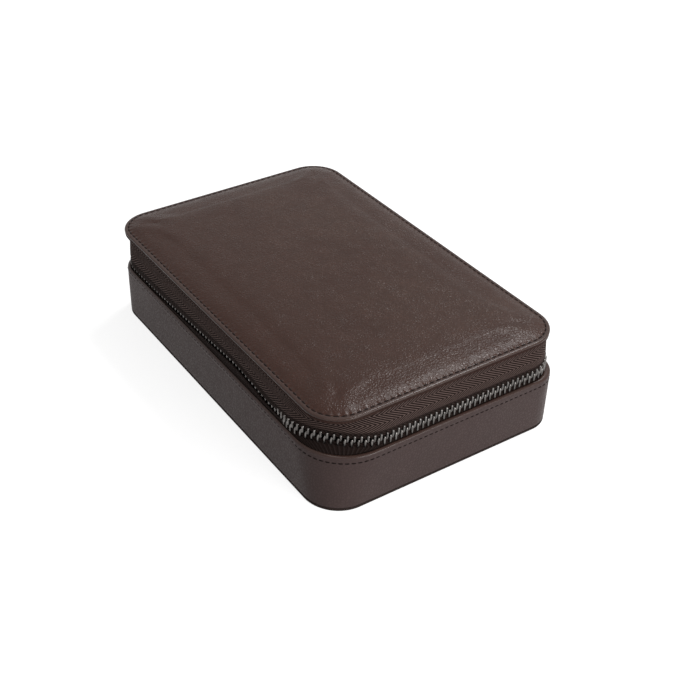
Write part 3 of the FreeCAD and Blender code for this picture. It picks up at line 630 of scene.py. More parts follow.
def suede_finish():
    """Brushed microsuede: short nap that catches the light, in patches of two tones."""
    made, tree, shader = finish(
        "brushed suede", Specular_IOR_Level=0.1, Sheen_Weight=0.6, Sheen_Roughness=0.45
    )
    place = object_place(tree)
    strokes = use(tree, PATCHES, Place=place, Size=0.02)
    nap = noise(tree, place, 3200.0, 3.0, 0.7)
    tone = mix(tree, strokes["Patch"], (0.150, 0.106, 0.078), (0.190, 0.138, 0.104))
    put(shader.inputs["Base Color"], mix(tree, ramp(tree, nap, 0.3, 0.7, 0.0, 0.5), tone, (0.11, 0.076, 0.055)))
    put(shader.inputs["Roughness"], ramp(tree, nap, 0.0, 1.0, 0.85, 1.0))
    bump(tree, shader, nap, 0.0001)
    return made


def board_finish():
    made, tree, shader = finish("fibreboard", Specular_IOR_Level=0.2)
    fibre = noise(tree, object_place(tree), 600.0, 4.0, 0.65, 0.6)
    put(shader.inputs["Base Color"], mix(tree, fibre, (0.16, 0.12, 0.09), (0.30, 0.24, 0.18)))
    put(shader.inputs["Roughness"], ramp(tree, fibre, 0.0, 1.0, 0.75, 0.95))
    bump(tree, shader, fibre, 0.00012)
    return made


THREAD = thread_finish()
UPPER_TAPE = tape_finish("upper zip tape", (0.010, 0.006, 0.005), (0.105, 0.072, 0.064))
# painted shade: the lower tape is the same tape painted nearly black, its weave lines almost gone, for the shade
# between the teeth and the rim
SHADED_LOWER_TAPE = tape_finish("lower zip tape", (0.010, 0.006, 0.005), (0.015, 0.010, 0.009))
TOOTH_METAL = metal_finish("gunmetal teeth", (0.175, 0.165, 0.157), (0.09, 0.083, 0.078), (0.24, 0.38))
SLIDER_METAL = metal_finish("gunmetal slider", (0.21, 0.20, 0.193), (0.13, 0.122, 0.117), (0.18, 0.30))
SUEDE = suede_finish()
BOARD = board_finish()

# %% [markdown]
# The padded top is one hide, turned down round the lid's edge. From outside to inside its
# profile is a rounded fold, a narrow flat edge, a groove that the stitches lie in, and a foam
# filling that rises quickly and then stays nearly level. A list of insets and heights says this
# better than sculpting would. A short cloth simulation then lets the hide swell a little over
# its foam, with everything outside the groove held still, so that the crown isn't a perfect slope.


# %% Cloth helper
def swell(piece, held, pressure, reach, frames=20):
    """Inflate a closed piece as cloth. held are the points that stay, reach the most that one may move."""
    start = np.array([v.co[:] for v in piece.data.vertices])
    pinned = piece.vertex_groups.new(name="held")
    pinned.add(held, 1.0, "REPLACE")
    cloth = piece.modifiers.new("Cloth", "CLOTH")
    cloth.settings.quality = 6
    cloth.settings.mass = 0.1
    cloth.settings.tension_stiffness = cloth.settings.compression_stiffness = 12
    cloth.settings.bending_stiffness = 0.3
    cloth.settings.use_pressure = True
    cloth.settings.uniform_pressure_force = pressure
    cloth.settings.effector_weights.gravity = 0
    cloth.settings.vertex_group_mass = "held"
    cloth.point_cache.frame_start, cloth.point_cache.frame_end = 1, frames
    scene = bpy.context.scene
    for frame_number in range(1, frames + 1):
        scene.frame_set(frame_number)
    posed = piece.evaluated_get(bpy.context.evaluated_depsgraph_get())
    moved = np.array([v.co[:] for v in posed.data.vertices]) - start
    piece.modifiers.remove(cloth)
    piece.vertex_groups.remove(pinned)
    scene.frame_set(1)
    far = np.linalg.norm(moved, axis=1)
    limit = reach * MM
    eased = limit * np.tanh(far / limit)
    moved *= (eased / np.maximum(far, 1e-9))[:, None]
    piece.data.vertices.foreach_set("co", (start + moved).ravel())
    piece.data.update()
    return far.max() / MM


def subdivide(piece, levels=1):
    smooth = piece.modifiers.new("Smooth", "SUBSURF")
    smooth.levels = smooth.render_levels = levels


# %% The padded lid
LID_SLUMP = (-0.35, -0.45)
BASE_SHIFT = (0.35, 0.4)
BASE_CORNER = 12.5


def slide(mesh, step):
    """Move a mesh's points sideways by a step in millimetres."""
    mesh.transform(Matrix.Translation((step[0] * MM, step[1] * MM, 0)))


TURNED_ROWS = 12


def padded_lid():
    rings = [ring(level, inset, **LID_GRID) for inset, level in LID_PROFILE]
    piece = skin("padded_lid_leather", rings, TOP_LEATHER, ends=tuple(LID_GRID.values()), guide=SEAM_ROW)
    count = len(rings[0])
    piece.data.materials.append(EDGE_LEATHER)
    for face in list(piece.data.polygons)[: TURNED_ROWS * count]:
        face.material_index = 1
    rise = swell(piece, list(range(HELD_RINGS * count)), pressure=1.5, reach=0.35)
    slide(piece.data, LID_SLUMP)
    subdivide(piece)
    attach(piece, "lid")
    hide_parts("lid_top_leather", "lid_padding")
    print(f"padded lid: {len(piece.data.polygons)} faces, cloth moved up to {rise:.2f} mm")
    return piece


padded_lid()

# %% [markdown]
# Under the turned edge lies a second leaf of leather, a little set back, so that a thin dark seam
# runs between the two. It is a closed loop of leather with a rounded lower lip.


# %% The leaf under the lid's edge
def loop_of_leather(name, profile, finish_, body, replaced, near=None, step=None):
    """A closed band whose profile is a list of (inset, level), outside first and from below. step
    moves its outer face sideways, and gives it the base's squarer corners."""
    rings = []
    for inset, level in profile:
        outer = max(0.0, min(1.0, 1 - inset / WALL_IN)) if step else 0.0
        corner = CORNER + (BASE_CORNER - CORNER) * outer
        rings.append(ring(level, inset, near(level, inset) if near else None, corner=corner))
        rings[-1][:, :2] += np.array(step or (0, 0)) * outer
    piece = skin(name, rings, finish_, loop=True)
    subdivide(piece)
    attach(piece, body)
    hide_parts(*replaced)
    print(name, len(piece.data.polygons), "faces")
    return piece


loop_of_leather(
    "lid_edge_leaf",
    [
        (0.9, LID_UNDER - 0.35),
        (0.5, LID_UNDER - 0.3),
        (0.22, LID_UNDER - 0.05),
        (0.12, LID_UNDER + 0.35),
        (0.14, LID_UNDER + 0.72),
        (0.32, LID_UNDER + 0.96),
        (0.75, LID_UNDER + 1.04),
        (3.6, LID_UNDER + 1.08),
        (3.6, LID_UNDER),
        (2.2, LID_UNDER),
    ],
    # painted shade: the leaf's leather is painted darker than the turned edge
    SHADED_LEAF_LEATHER,
    "lid",
    ["lid_edge_band"],
)
slide(bpy.data.objects["lid_edge_leaf"].data, LID_SLUMP)

# %% [markdown]
# The base is a wall of leather round a board, with a separate leaf of leather under it. The wall
# is turned over at the rim, and its row of stitches pulls it in slightly, just below the rim.
# The bottom leaf is stepped in by a hair, which shows as a thin dark line along the foot; its leather is painted
# very dark, as painted shade.


# %% The base's wall and bottom
STITCH_DROP = 3.0
STITCH_LINE = RIM - STITCH_DROP
STITCH_RISE = 1.3

loop_of_leather(
    "base_wall_leather",
    [
        (WALL_IN, WALL_FOOT),
        (0.0, WALL_FOOT),
        (-0.25, WALL_FOOT + 0.05),
        (-0.38, WALL_FOOT + 0.2),
        (WALL_OUT, WALL_FOOT + 0.6),
        (WALL_OUT, 6.0),
        (WALL_OUT, 11.0),
        (WALL_OUT, 16.0),
        (WALL_OUT, STITCH_LINE - 1.0),
        (WALL_OUT + 0.05, STITCH_LINE - 0.4),
        (WALL_OUT + 0.1, STITCH_LINE),
        (WALL_OUT + 0.05, STITCH_LINE + 0.4),
        (WALL_OUT - 0.02, STITCH_LINE + 1.0),
        (WALL_OUT, RIM - 1.1),
        (WALL_OUT + 0.1, RIM - 0.7),
        (WALL_OUT + 0.34, RIM - 0.32),
        (WALL_OUT + 0.7, RIM - 0.07),
        (0.55, RIM),
        (0.8, RIM - 0.1),
        (WALL_IN, RIM - 0.4),
        (WALL_IN, RIM - 1.2),
        (WALL_IN, 12.0),
    ],
    WALL_LEATHER,
    "base",
    ["base_outer_wall"],
    near=base_corner,
    step=BASE_SHIFT,
)


wall = bpy.data.objects["base_wall_leather"].data
wall.materials.append(EDGE_LEATHER)
for face in wall.polygons:
    if face.center.z > (RIM - 0.9) * MM:
        face.material_index = 1


def bottom_leaf():
    foot = WALL_OUT + 0.08
    profile = [(foot + 1.2, 0.0), (foot + 0.25, 0.0), (foot + 0.04, 0.1), (foot, 0.3)]
    profile += [(foot, WALL_FOOT - 0.35), (foot + 0.5, WALL_FOOT), (foot + 3.0, WALL_FOOT)]
    near = CORNER - foot
    rings = [ring(level, inset, near, corner=BASE_CORNER, **LID_GRID) for inset, level in profile]
    # the bottom leaf's leather is painted dark, as painted shade
    piece = skin("bottom_leather_leaf", rings, SHADED_BOTTOM_LEATHER, ends=tuple(LID_GRID.values()))
    slide(piece.data, BASE_SHIFT)
    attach(piece, "base")
    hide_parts("base_bottom_cover")
    return piece


bottom_leaf()

# %% [markdown]
# The zip's two tapes are woven in a herringbone. The lower one comes up out of the base, the
# upper one leans in under the lid. Both sweep wide round the front right corner at the level of
# the teeth. A tape's edge has a round cord that the teeth are clamped on, and beside it a
# shallow fold.

# %% The zip tapes
TAPE_THICK = 0.5
LID_TAPE_EDGE = CHAIN + 1.0
BASE_TAPE_EDGE = CHAIN - 1.0
TAPE_END = 64.2
TAPE_OUT = 0.95


def tape(name, face, body, node):
    """A woven strip through (level, inset, near radius) of its outer face, from the teeth outwards."""
    back = [(level, inset + TAPE_THICK, near and near - TAPE_THICK) for level, inset, near in face[::-1]]
    order = face + back if face[0][0] < face[-1][0] else back + face
    shape = dict(opening=TAPE_END, arc=16, long=48, short=30)
    rings = [ring(level, inset, near, **shape) for level, inset, near in order]
    fixed = LID_UNDER if body == "lid" else RIM - 3.0
    moving = LID_TAPE_EDGE if body == "lid" else BASE_TAPE_EDGE
    for points, (level, inset, near) in zip(rings, order):
        points[:, 2] -= dip(points) * np.clip((level - fixed) / (moving - fixed), 0, 1)
    # the base's tape gets the copy painted in shade
    finish_ = UPPER_TAPE if body == "lid" else SHADED_LOWER_TAPE
    piece = skin(name, rings, finish_, wrap=False, loop=True, guide=len(rings) // 2)
    subdivide(piece)
    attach(piece, body)
    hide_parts(node)
    print(name, len(piece.data.polygons), "faces")
    return piece


def wide(level, inset):
    return (level, inset, sweep_radius(level, inset))


LEAN_FROM = CHAIN + 4.8
LEAN = 0.7
lid_face = [
    wide(LID_TAPE_EDGE, TAPE_OUT + 0.1),
    wide(LID_TAPE_EDGE + 0.3, TAPE_OUT - 0.05),
    wide(LID_TAPE_EDGE + 1.2, TAPE_OUT - 0.05),
    wide(LID_TAPE_EDGE + 1.7, TAPE_OUT + 0.12),
    wide(LID_TAPE_EDGE + 2.2, TAPE_OUT + 0.3),
    wide(LID_TAPE_EDGE + 2.9, TAPE_OUT + 0.12),
    wide(LEAN_FROM, TAPE_OUT),
]
for share in (0.25, 0.5, 0.75, 1.0):
    lid_face.append(wide(LEAN_FROM + (LID_UNDER - LEAN_FROM) * share, TAPE_OUT + LEAN * share))
tape("woven_tape_lid", lid_face, "lid", "zip_tape_lid")

TAPE_FOOT = low("zip_tape_base")
base_face = [(level, TAPE_OUT, base_corner(level, TAPE_OUT)) for level in (TAPE_FOOT, RIM - 3.0, RIM - 0.6)]
base_face += [
    wide(BASE_TAPE_EDGE - 1.9, TAPE_OUT),
    wide(BASE_TAPE_EDGE - 1.4, TAPE_OUT + 0.1),
    wide(BASE_TAPE_EDGE - 1.1, TAPE_OUT - 0.05),
    wide(BASE_TAPE_EDGE - 0.3, TAPE_OUT - 0.05),
    wide(BASE_TAPE_EDGE, TAPE_OUT + 0.1),
]
tape("woven_tape_base", base_face, "base", "zip_tape_base")

# %% [markdown]
# The teeth are nearly four hundred copies of one small casting, half of them upside down. Geometry
# Nodes sets one on each step of a path, so a change to the pitch or to the tooth is one number.
# The same tree lays the stitches. A tooth is two rounded legs round the tape's cord and a
# head that leans a little sideways, towards its partner in the other row.


# %% A tree that sets one shape along a path
def along_a_path():
    tree = bpy.data.node_groups.new("Set along a path", "GeometryNodeTree")
    sockets = [("Path", "Geometry"), ("Shape", "Object"), ("Pitch", "Float"), ("Finish", "Material")]
    for label, kind in sockets:
        tree.interface.new_socket(name=label, in_out="INPUT", socket_type=f"NodeSocket{kind}")
    tree.interface.new_socket(name="Pieces", in_out="OUTPUT", socket_type="NodeSocketGeometry")
    given = tree.nodes.new("NodeGroupInput").outputs
    out = tree.nodes.new("NodeGroupOutput").inputs
    spots = tree.nodes.new("GeometryNodeCurveToPoints")
    spots.mode = "LENGTH"
    facing = tree.nodes.new("FunctionNodeAlignRotationToVector")
    facing.axis, facing.pivot_axis = "X", "Z"
    shape = tree.nodes.new("GeometryNodeObjectInfo")
    copies = tree.nodes.new("GeometryNodeInstanceOnPoints")
    whole = tree.nodes.new("GeometryNodeRealizeInstances")
    painted = tree.nodes.new("GeometryNodeSetMaterial")
    put(spots.inputs["Curve"], given["Path"])
    put(spots.inputs["Length"], given["Pitch"])
    put(facing.inputs["Vector"], spots.outputs["Tangent"])
    put(shape.inputs["Object"], given["Shape"])
    put(copies.inputs["Points"], spots.outputs["Points"])
    put(copies.inputs["Instance"], shape.outputs["Geometry"])
    put(copies.inputs["Rotation"], facing.outputs["Rotation"])
    put(whole.inputs[0], copies.outputs[0])
    put(painted.inputs["Geometry"], whole.outputs[0])
    put(painted.inputs["Material"], given["Finish"])
    put(out["Pieces"], painted.outputs[0])
    return tree


ALONG = along_a_path()


def set_along(name, path, closed, shape, pitch, finish_):
    """Copies of a shape along a path of points, in millimetres, made into one plain mesh."""
    line = bpy.data.curves.new(f"{name}_path", "CURVE")
    line.dimensions = "3D"
    spline = line.splines.new("POLY")
    spline.points.add(len(path) - 1)
    spline.points.foreach_set("co", np.column_stack([path * MM, np.ones(len(path))]).ravel())
    spline.use_cyclic_u = closed
    holder = bpy.data.objects.new(f"{name}_path", line)
    bpy.context.scene.collection.objects.link(holder)
    nodes_modifier = holder.modifiers.new("Along", "NODES")
    nodes_modifier.node_group = ALONG
    named = {item.name: item.identifier for item in ALONG.interface.items_tree if item.in_out == "INPUT"}
    nodes_modifier[named["Shape"]] = shape
    nodes_modifier[named["Pitch"]] = pitch * MM
    nodes_modifier[named["Finish"]] = finish_
    mesh = bpy.data.meshes.new_from_object(holder.evaluated_get(bpy.context.evaluated_depsgraph_get()))
    bpy.data.objects.remove(holder)
    bpy.data.objects.remove(shape)
    mesh.name = name
    mesh.shade_smooth()
    piece = bpy.data.objects.new(name, mesh)
    bpy.context.scene.collection.objects.link(piece)
    return piece


# %% One tooth, and the two rows
PITCH = 2.5
HALF_TEETH = 2.7


def rounded_section(half_x, half_y, level, lean=0.0, corner=0.42):
    """Eight points of a bar's section, its corners cut off."""
    cut = corner * min(half_x, half_y)
    corners = []
    for side_x, side_y in ((1, -1), (1, 1), (-1, 1), (-1, -1)):
        near_x, near_y = side_x * (half_x - cut), side_y * (half_y - cut)
        pair = [(near_x, side_y * half_y), (side_x * half_x, near_y)]
        corners += pair if side_x * side_y < 0 else pair[::-1]
    return [(x + lean, y, level) for x, y in corners]


def bar(name, sections, finish_):
    """A closed bar through sections of as many points each."""
    points = [point for section in sections for point in section]
    count = len(sections[0])
    faces = [tuple(range(count))[::-1]]
    for row in range(len(sections) - 1):
        for column in range(count):
            following = (column + 1) % count
            first, second = row * count, (row + 1) * count
            faces.append((first + column, first + following, second + following, second + column))
    faces.append(tuple(range(len(points) - count, len(points))))
    return mesh_object(name, points, faces, finish_)


def tooth(side):
    """side is 1 for the lid's row, whose legs point up, and -1 for the base's row."""
    profile = [
        (HALF_TEETH, 0.26, 0.6, 0.0),
        (HALF_TEETH - 0.15, 0.36, 0.88, 0.0),
        (HALF_TEETH - 0.45, 0.4, 1.0, 0.0),
        (1.0, 0.4, 1.0, 0.0),
        (0.65, 0.46, 0.98, 0.02),
        (0.1, 0.5, 0.92, 0.1),
        (-0.45, 0.4, 0.84, 0.2),
        (-0.85, 0.22, 0.6, 0.26),
    ]
    sections = [
        rounded_section(half_x, half_y, side * level, side * lean)
        for level, half_x, half_y, lean in (profile[::-1] if side > 0 else profile)
    ]
    return bar("tooth", sections, TOOTH_METAL)


TAIL_X = LENGTH / 2 - CORNER - 4.0


def chain_line():
    """The chain's middle line, clockwise from its tail on the back, with the distance along it."""
    loop = outline(TAPE_MID, SWEEP, opening=TAIL_X, arc=90, long=2, short=2)[::-1]
    return loop, lengths(loop)


LINE, TRAVEL = chain_line()
SLIDER_Y = (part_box("slider_body")[0].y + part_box("slider_body")[1].y) / 2 / MM
CHAIN_STOP = float(
    TRAVEL[-1]
    - abs(LINE[-1][0] - (-LENGTH / 2 + CORNER))
    - math.pi / 2 * (CORNER - TAPE_MID)
    - (WIDTH / 2 - CORNER - (SLIDER_Y - 6.05))
)


def on_chain(distance):
    """A place on the chain's middle line."""
    return [np.interp(distance, TRAVEL, LINE[:, 0]), np.interp(distance, TRAVEL, LINE[:, 1]), CHAIN]


def row_of_teeth(name, side, first, body, replaced, depth):
    count = int((CHAIN_STOP - first) / PITCH)
    path = np.array([on_chain(first + step * PITCH / 10) for step in range(count * 10 + 1)])
    path[:, 2] -= dip(path)
    path[:, 1] += tuck(path) * depth
    piece = set_along(name, path, False, tooth(side), PITCH, TOOTH_METAL)
    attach(piece, body)
    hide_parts(*replaced)
    print(name, count + 1, "teeth,", len(piece.data.polygons), "faces")


STRETCHES = ("tail", "right", "front", "left")
row_of_teeth("teeth_lid_row", 1, 0.5 * PITCH, "lid", [f"zip_teeth_lid_{s}" for s in STRETCHES], 1.0)
row_of_teeth("teeth_base_row", -1, PITCH, "base", [f"zip_teeth_base_{s}" for s in STRETCHES], 1.9)

# %% [markdown]
# Stitches are short sunk capsules of thread. They lie in the lid's groove and along the base's
# rim. Their pitch is rounded so that a whole number fits round the box.


# %% Stitches
def stitch(length, half_width, half_height):
    sections = []
    for share, swell_ in ((-1.0, 0.35), (-0.75, 0.85), (0.0, 1.0), (0.75, 0.85), (1.0, 0.35)):
        turn = np.radians(np.arange(0, 360, 45))
        across = np.cos(turn) * half_width * swell_
        up = np.sin(turn) * half_height * swell_
        dip = -0.5 * half_height * share * share
        sections.append([(share * length / 2, a, u + dip) for a, u in zip(across, up)])
    return bar("stitch", sections, THREAD)


def row_of_stitches(name, level, inset, pitch, shape, body, near=None, corner=CORNER, step=(0, 0), rise=0.0):
    loop = ring(level, inset, near, arc=24, corner=corner)
    loop[:, 2] += rise * front_share(loop) * np.interp(loop[:, 0], (52, 76), (1.0, 0.0))
    loop[:, :2] += step
    around = lengths(np.vstack([loop, loop[:1]]))[-1]
    count = round(around / pitch)
    piece = set_along(name, loop, True, shape, around / count * 0.9999, THREAD)
    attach(piece, body)
    print(name, count, "stitches")


def upright_stitch(length, half_width, half_height):
    """A stitch for a wall: its width stands up and its height points out of the leather."""
    shape = stitch(length, half_width, half_height)
    for vertex in shape.data.vertices:
        vertex.co = (vertex.co.x, -vertex.co.z, vertex.co.y)
    return shape


row_of_stitches(
    "lid_stitches", FLANGE - 0.4, SEAM_INSET, LID_STITCH, stitch(2.2, 0.36, 0.2), "lid", step=LID_SLUMP
)
sunk = WALL_OUT + 0.08
near_corner = base_corner(STITCH_LINE, sunk)
row_of_stitches(
    "base_stitches",
    STITCH_LINE,
    sunk,
    2.5,
    upright_stitch(1.8, 0.3, 0.2),
    "base",
    near_corner,
    corner=BASE_CORNER,
    step=BASE_SHIFT,
    rise=STITCH_RISE,
)

# %% [markdown]
# A strip of leather is the hinge. It is glued into the base, passes over the tapes' ends, and is
# glued under the lid, so it must bend when the lid opens. It is one mesh with rows close together
# where it bends.


# %% The hinge strip
def hinge_strip():
    half = 64.9
    back = WIDTH / 2
    out_y, in_y = back - 0.72, back - 1.85
    foot, top = low("spine_lower_leaf"), LID_UNDER
    levels = np.unique(
        np.concatenate([np.linspace(foot, CHAIN - 4, 8), np.linspace(CHAIN - 4, CHAIN + 4, 17),
                        np.linspace(CHAIN + 4, top, 8)]).round(4)
    )
    across = np.linspace(-half, half, 40)
    rings = []
    for level in levels:
        crease = 0.18 * math.exp(-((level - CHAIN) ** 2) / 1.2)
        outer = [(x, out_y - crease, level) for x in across[::-1]]
        inner = [(x, in_y, level) for x in across]
        rings.append(outer + inner)
    piece = skin("hinge_strip_leather", rings, WALL_LEATHER, ends="flat")
    mesh = bmesh.new()
    mesh.from_mesh(piece.data)
    bmesh.ops.bevel(
        mesh,
        geom=[e for e in mesh.edges if len(e.link_faces) == 2 and e.calc_face_angle() > 1.0],
        offset=0.2 * MM,
        segments=2,
        affect="EDGES",
    )
    mesh.to_mesh(piece.data)
    mesh.free()
    piece.data.shade_smooth()
    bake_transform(piece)
    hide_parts("spine_lower_leaf", "spine_upper_leaf")
    print("hinge strip", len(piece.data.polygons), "faces")


hinge_strip()

# %% [markdown]
# The slider, its bail, the pull and the end stops are small castings whose shape the CAD model
# has. A copy of each is merged, its flat faces are joined again, and its hard edges get
# a real round, because an edge without a round never catches the light.


# %% Metal fittings
def eased_copy(node, name, finish_, width, segments=2):
    """A copy of a CAD node with rounded edges, standing for it."""
    mesh = bmesh.new()
    mesh.from_mesh(nodes[node].data)
    bmesh.ops.remove_doubles(mesh, verts=mesh.verts, dist=1e-6)
    bmesh.ops.dissolve_limit(mesh, angle_limit=0.02, verts=mesh.verts, edges=mesh.edges)
    data = bpy.data.meshes.new(name)
    mesh.to_mesh(data)
    mesh.free()
    data.materials.append(finish_)
    data.shade_smooth()
    piece = bpy.data.objects.new(name, data)
    bpy.context.scene.collection.objects.link(piece)
    easing = piece.modifiers.new("Eased edges", "BEVEL")
    easing.width = width * MM
    easing.segments = segments
    easing.limit_method = "ANGLE"
    easing.angle_limit = math.radians(35)
    easing.use_clamp_overlap = True
    normals = piece.modifiers.new("Even normals", "WEIGHTED_NORMAL")
    normals.keep_sharp = True
    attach(piece, nodes[node]["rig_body"])
    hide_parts(node)
    return piece


eased_copy("slider_body", "cast_slider", SLIDER_METAL, 0.16)
eased_copy("slider_bail", "bail_bow", SLIDER_METAL, 0.25, 3)
eased_copy("zip_pull", "pull_tab", SLIDER_METAL, 0.3, 3)
for node in ("top_stop_lid", "top_stop_base", "bottom_stop"):
    eased_copy(node, f"{node}_clip", TOOTH_METAL, 0.2)
print("fittings eased")

# %% [markdown]
# Inside, everything is covered in suede. The base's wall lining is turned over the board's top,
# the lid's inner wall is a board wrapped on both sides, and the floor has one soft pad for each
# cell between the padded dividers.

# %% Suede walls
base_lining_top = high("base_wall_lining")
floor_top = high("base_floor_board")
loop_of_leather(
    "base_suede_lining",
    [
        (4.85, floor_top),
        (3.85, floor_top),
        (3.85, base_lining_top - 0.7),
        (1.9, base_lining_top - 0.68),
        (1.9, base_lining_top - 0.25),
        (2.3, base_lining_top - 0.05),
        (3.2, base_lining_top),
        (4.2, base_lining_top - 0.04),
        (4.7, base_lining_top - 0.3),
        (4.85, base_lining_top - 0.9),
        (4.85, 12.0),
    ][::-1],
    SUEDE,
    "base",
    ["base_wall_lining"],
    near=base_corner,
)
frame_foot = low("lid_wall_board")
loop_of_leather(
    "lid_suede_wall",
    [
        (6.8, LID_UNDER),
        (6.8, 36.0),
        (6.8, frame_foot + 0.9),
        (6.6, frame_foot + 0.25),
        (6.1, frame_foot),
        (4.9, frame_foot),
        (4.4, frame_foot + 0.25),
        (4.2, frame_foot + 0.9),
        (4.2, 36.0),
        (4.2, LID_UNDER),
    ],
    SUEDE,
    "lid",
    ["lid_wall_board", "lid_wall_lining"],
    near=sweep_radius,
)

# %% [markdown]
# The cushion in the lid holds the cufflinks down when the box is shut. It starts as a thin flat
# pad and is blown up as cloth, with its glued side held, so that it crowns towards the middle
# and stays low at its edge.


# %% The lid's cushion
def lid_cushion():
    grid = dict(arc=12, long=40, short=26)
    top = LID_UNDER
    profile = [(7.5, top), (7.15, top - 0.6), (7.05, top - 2.0), (7.2, top - 3.6), (7.8, top - 4.6),
               (9.0, top - 5.2), (11.0, top - 5.5), (13.5, top - 5.6)]
    rings = [ring(level, inset, sweep_radius(level, inset), **grid) for inset, level in profile]
    piece = skin("lid_suede_cushion", rings, SUEDE, ends=tuple(grid.values()))
    rise = swell(piece, list(range(3 * len(rings[0]))), pressure=4.0, reach=1.6)
    subdivide(piece)
    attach(piece, "lid")
    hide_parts("lid_cushion")
    print(f"lid cushion: cloth moved up to {rise:.2f} mm")


lid_cushion()

# %% Floor pads
INSIDE = 4.85
ROWS, COLUMNS = 3, 5
DIVIDER = 2.4
half_inside_x, half_inside_y = LENGTH / 2 - INSIDE, WIDTH / 2 - INSIDE
CELL_X = (2 * half_inside_x - (COLUMNS - 1) * DIVIDER) / COLUMNS
CELL_Y = (2 * half_inside_y - (ROWS - 1) * DIVIDER) / ROWS


def crowned_pad(centre, half_x, half_y, foot, top, steps=10):
    """Points and faces of a small pad, flat below and crowned above."""
    share = np.linspace(-1, 1, steps + 1)
    u, v = np.meshgrid(share, share, indexing="ij")
    edge = np.clip((1 - np.abs(u) ** 6) * (1 - np.abs(v) ** 6), 0, 1) ** 0.5
    upper = np.stack([centre[0] + u * half_x, centre[1] + v * half_y, foot + (top - foot) * edge], -1)
    lower = upper.copy()
    lower[..., 2] = foot
    points = np.vstack([upper.reshape(-1, 3), lower[1:-1, 1:-1].reshape(-1, 3)])
    index = np.arange((steps + 1) ** 2).reshape(steps + 1, steps + 1)
    under = index.copy()
    under[1:-1, 1:-1] = (steps + 1) ** 2 + np.arange((steps - 1) ** 2).reshape(steps - 1, steps - 1)
    faces = []
    for i in range(steps):
        for j in range(steps):
            faces.append((index[i, j], index[i + 1, j], index[i + 1, j + 1], index[i, j + 1]))
            faces.append((under[i, j + 1], under[i + 1, j + 1], under[i + 1, j], under[i, j]))
    return points, faces


def floor_pads():
    points, faces = [], []
    foot, top = low("base_floor_pad"), high("base_floor_pad")
    for row in range(ROWS):
        for column in range(COLUMNS):
            x = -half_inside_x + CELL_X / 2 + column * (CELL_X + DIVIDER)
            y = -half_inside_y + CELL_Y / 2 + row * (CELL_Y + DIVIDER)
            these, those = crowned_pad((x, y), CELL_X / 2 + 0.9, CELL_Y / 2 + 0.9, foot, top + 0.25)
            faces += [tuple(int(n) + sum(len(p) for p in points) for n in face) for face in those]
            points.append(these)
    piece = mesh_object("suede_floor_pads", np.vstack(points), faces, SUEDE)
    subdivide(piece)
    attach(piece, "base")
    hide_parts("base_floor_pad")
    print("floor pads:", ROWS * COLUMNS)


floor_pads()


# %% Padded dividers
def divider(number, along_x, place):
    """A padded wall with a rounded top, its ends against the lining."""
    kind = "long" if along_x else "cross"
    node = f"{kind}_divider_{number}"
    foot, top = low(node), high(node)
    half_length = (half_inside_x if along_x else half_inside_y) - 0.1
    half = DIVIDER / 2
    turns = np.radians(np.linspace(0, 180, 9))
    profile = [(half * 0.9, foot), (half, foot + 3), (half, top - 3)]
    profile += [(half * math.cos(t), top - half + half * math.sin(t)) for t in turns]
    profile += [(-half, top - 3), (-half, foot + 3), (-half * 0.9, foot)]
    stations = np.linspace(-half_length, half_length, 40)
    rings = []
    for station in stations:
        thin = 1 - 0.08 * math.exp(-((half_length - abs(station)) / 1.5) ** 2)
        if along_x:
            rings.append([(station, place + across * thin, up) for across, up in profile])
        else:
            rings.append([(place - across * thin, station, up) for across, up in profile])
    piece = skin(f"padded_{node}", rings, SUEDE, ends="flat")
    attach(piece, "base")
    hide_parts(node)


for number in range(1, ROWS):
    divider(number, True, -half_inside_y + number * CELL_Y + (number - 0.5) * DIVIDER)
for number in range(1, COLUMNS):
    divider(number, False, -half_inside_x + number * CELL_X + (number - 0.5) * DIVIDER)
print("dividers:", ROWS + COLUMNS - 2)

# %% Boards keep their CAD shape
for node in ("base_floor_board", "base_wall_board", "lid_board"):
    nodes[node].data.materials.clear()
    nodes[node].data.materials.append(BOARD)

# %% [markdown]
# The floor is a broad white sheet. It keeps the soft shadow under the box, and a little of its
# own light for the camera, and for what mirrors it, lifts it to the plain white of a studio.


# %% Floor and backdrop
def studio_white(tree):
    """One where a ray comes from the camera or is a clear reflection."""
    path = tree.nodes.new("ShaderNodeLightPath")
    seen = math_node(tree, "MAXIMUM", path.outputs["Is Camera Ray"], path.outputs["Is Glossy Ray"])
    return math_node(tree, "MAXIMUM", seen, path.outputs["Is Transmission Ray"])


FLOOR_GLOW = 0.74


def studio_floor():
    made, tree, shader = finish("studio floor", Roughness=0.9, Specular_IOR_Level=0.0)
    speck = noise(tree, object_place(tree), 40.0, 2.0)
    put(shader.inputs["Base Color"], mix(tree, speck, (0.37, 0.37, 0.37), (0.39, 0.39, 0.39)))
    put(shader.inputs["Emission Color"], (1.0, 1.0, 1.0, 1.0))
    put(shader.inputs["Emission Strength"], math_node(tree, "MULTIPLY", studio_white(tree), FLOOR_GLOW))
    reach = 4000.0
    turn = np.linspace(0, math.tau, 64, endpoint=False)
    rim = [(reach * math.cos(t), reach * math.sin(t), 0.0) for t in turn]
    piece = mesh_object("studio_floor", rim, [tuple(range(len(rim)))], made)


def studio_world():
    world = bpy.data.worlds.new("studio")
    bpy.context.scene.world = world
    world.use_nodes = True
    tree = world.node_tree
    background = tree.nodes["Background"]
    put(background.inputs["Color"], (1.0, 1.0, 1.0, 1.0))
    put(background.inputs["Strength"], ramp(tree, studio_white(tree), 0.0, 1.0, 0.35, 1.0))


studio_floor()
studio_world()

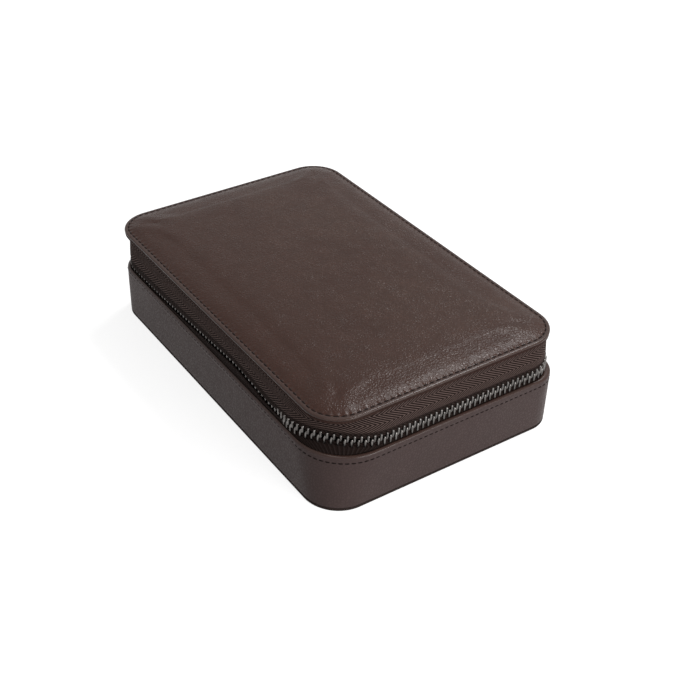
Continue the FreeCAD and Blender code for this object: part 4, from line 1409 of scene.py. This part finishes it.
# %% [markdown]
# Four soft lamps, none of them strong. The key hangs high behind the left end, so that its
# reflection lies on the padding's slope along the near short edge, where the photograph shows
# a grainy band of light. A second one lights the short side, a weak one fills the long side,
# and a fourth hangs high over the near corner.


# %% Lamps
def soft_lamp(name, direction, distance, width, height, power):
    lamp = bpy.data.lights.new(name, "AREA")
    lamp.shape = "RECTANGLE"
    lamp.size, lamp.size_y = width, height
    lamp.energy = power
    holder = bpy.data.objects.new(name, lamp)
    towards = Vector(direction).normalized()
    holder.location = towards * distance
    holder.rotation_mode = "QUATERNION"
    holder.rotation_quaternion = towards.to_track_quat("Z", "Y")
    bpy.context.scene.collection.objects.link(holder)


soft_lamp("key", (-0.17, 0.53, 0.83), 1.4, 0.46, 0.3, 13.0)
soft_lamp("side", (0.93, 0.2, 0.32), 1.6, 1.1, 0.6, 25.0)
soft_lamp("fill", (-0.2, -0.9, 0.55), 1.8, 1.0, 0.7, 1.0)
soft_lamp("rim", (0.39, -0.46, 0.8), 1.5, 0.6, 0.4, 5.0)

# %% [markdown]
# The camera stands where the photographer's did. Its place was found by matching the
# box's known outline, its teeth and its rim to the photograph.

# %% Camera
CAMERA_PLACE = (353.98, -239.21, 313.34)
CAMERA_AZIMUTH, CAMERA_ELEVATION, CAMERA_ROLL = 58.097, 35.365, -0.157
PICTURE = 675.0
FOCAL_PIXELS, SHIFT_PIXELS = 1185.62, 50.0

camera_data = bpy.data.cameras.new("camera")
camera_data.sensor_width = 36.0
camera_data.lens = 36.0 * FOCAL_PIXELS / PICTURE
camera_data.shift_x = SHIFT_PIXELS / PICTURE
camera_data.clip_start, camera_data.clip_end = 0.01, 20.0
camera = bpy.data.objects.new("camera", camera_data)
turn, rise = math.radians(CAMERA_AZIMUTH), math.radians(CAMERA_ELEVATION)
back = Vector((math.sin(turn) * math.cos(rise), -math.cos(turn) * math.cos(rise), math.sin(rise)))
camera.location = Vector(CAMERA_PLACE) * MM
camera.rotation_mode = "QUATERNION"
roll = Quaternion((0, 0, 1), math.radians(CAMERA_ROLL))
camera.rotation_quaternion = (-back).to_track_quat("-Z", "Y") @ roll
bpy.context.scene.collection.objects.link(camera)
bpy.context.scene.camera = camera
bpy.context.scene.view_settings.view_transform = "Standard"
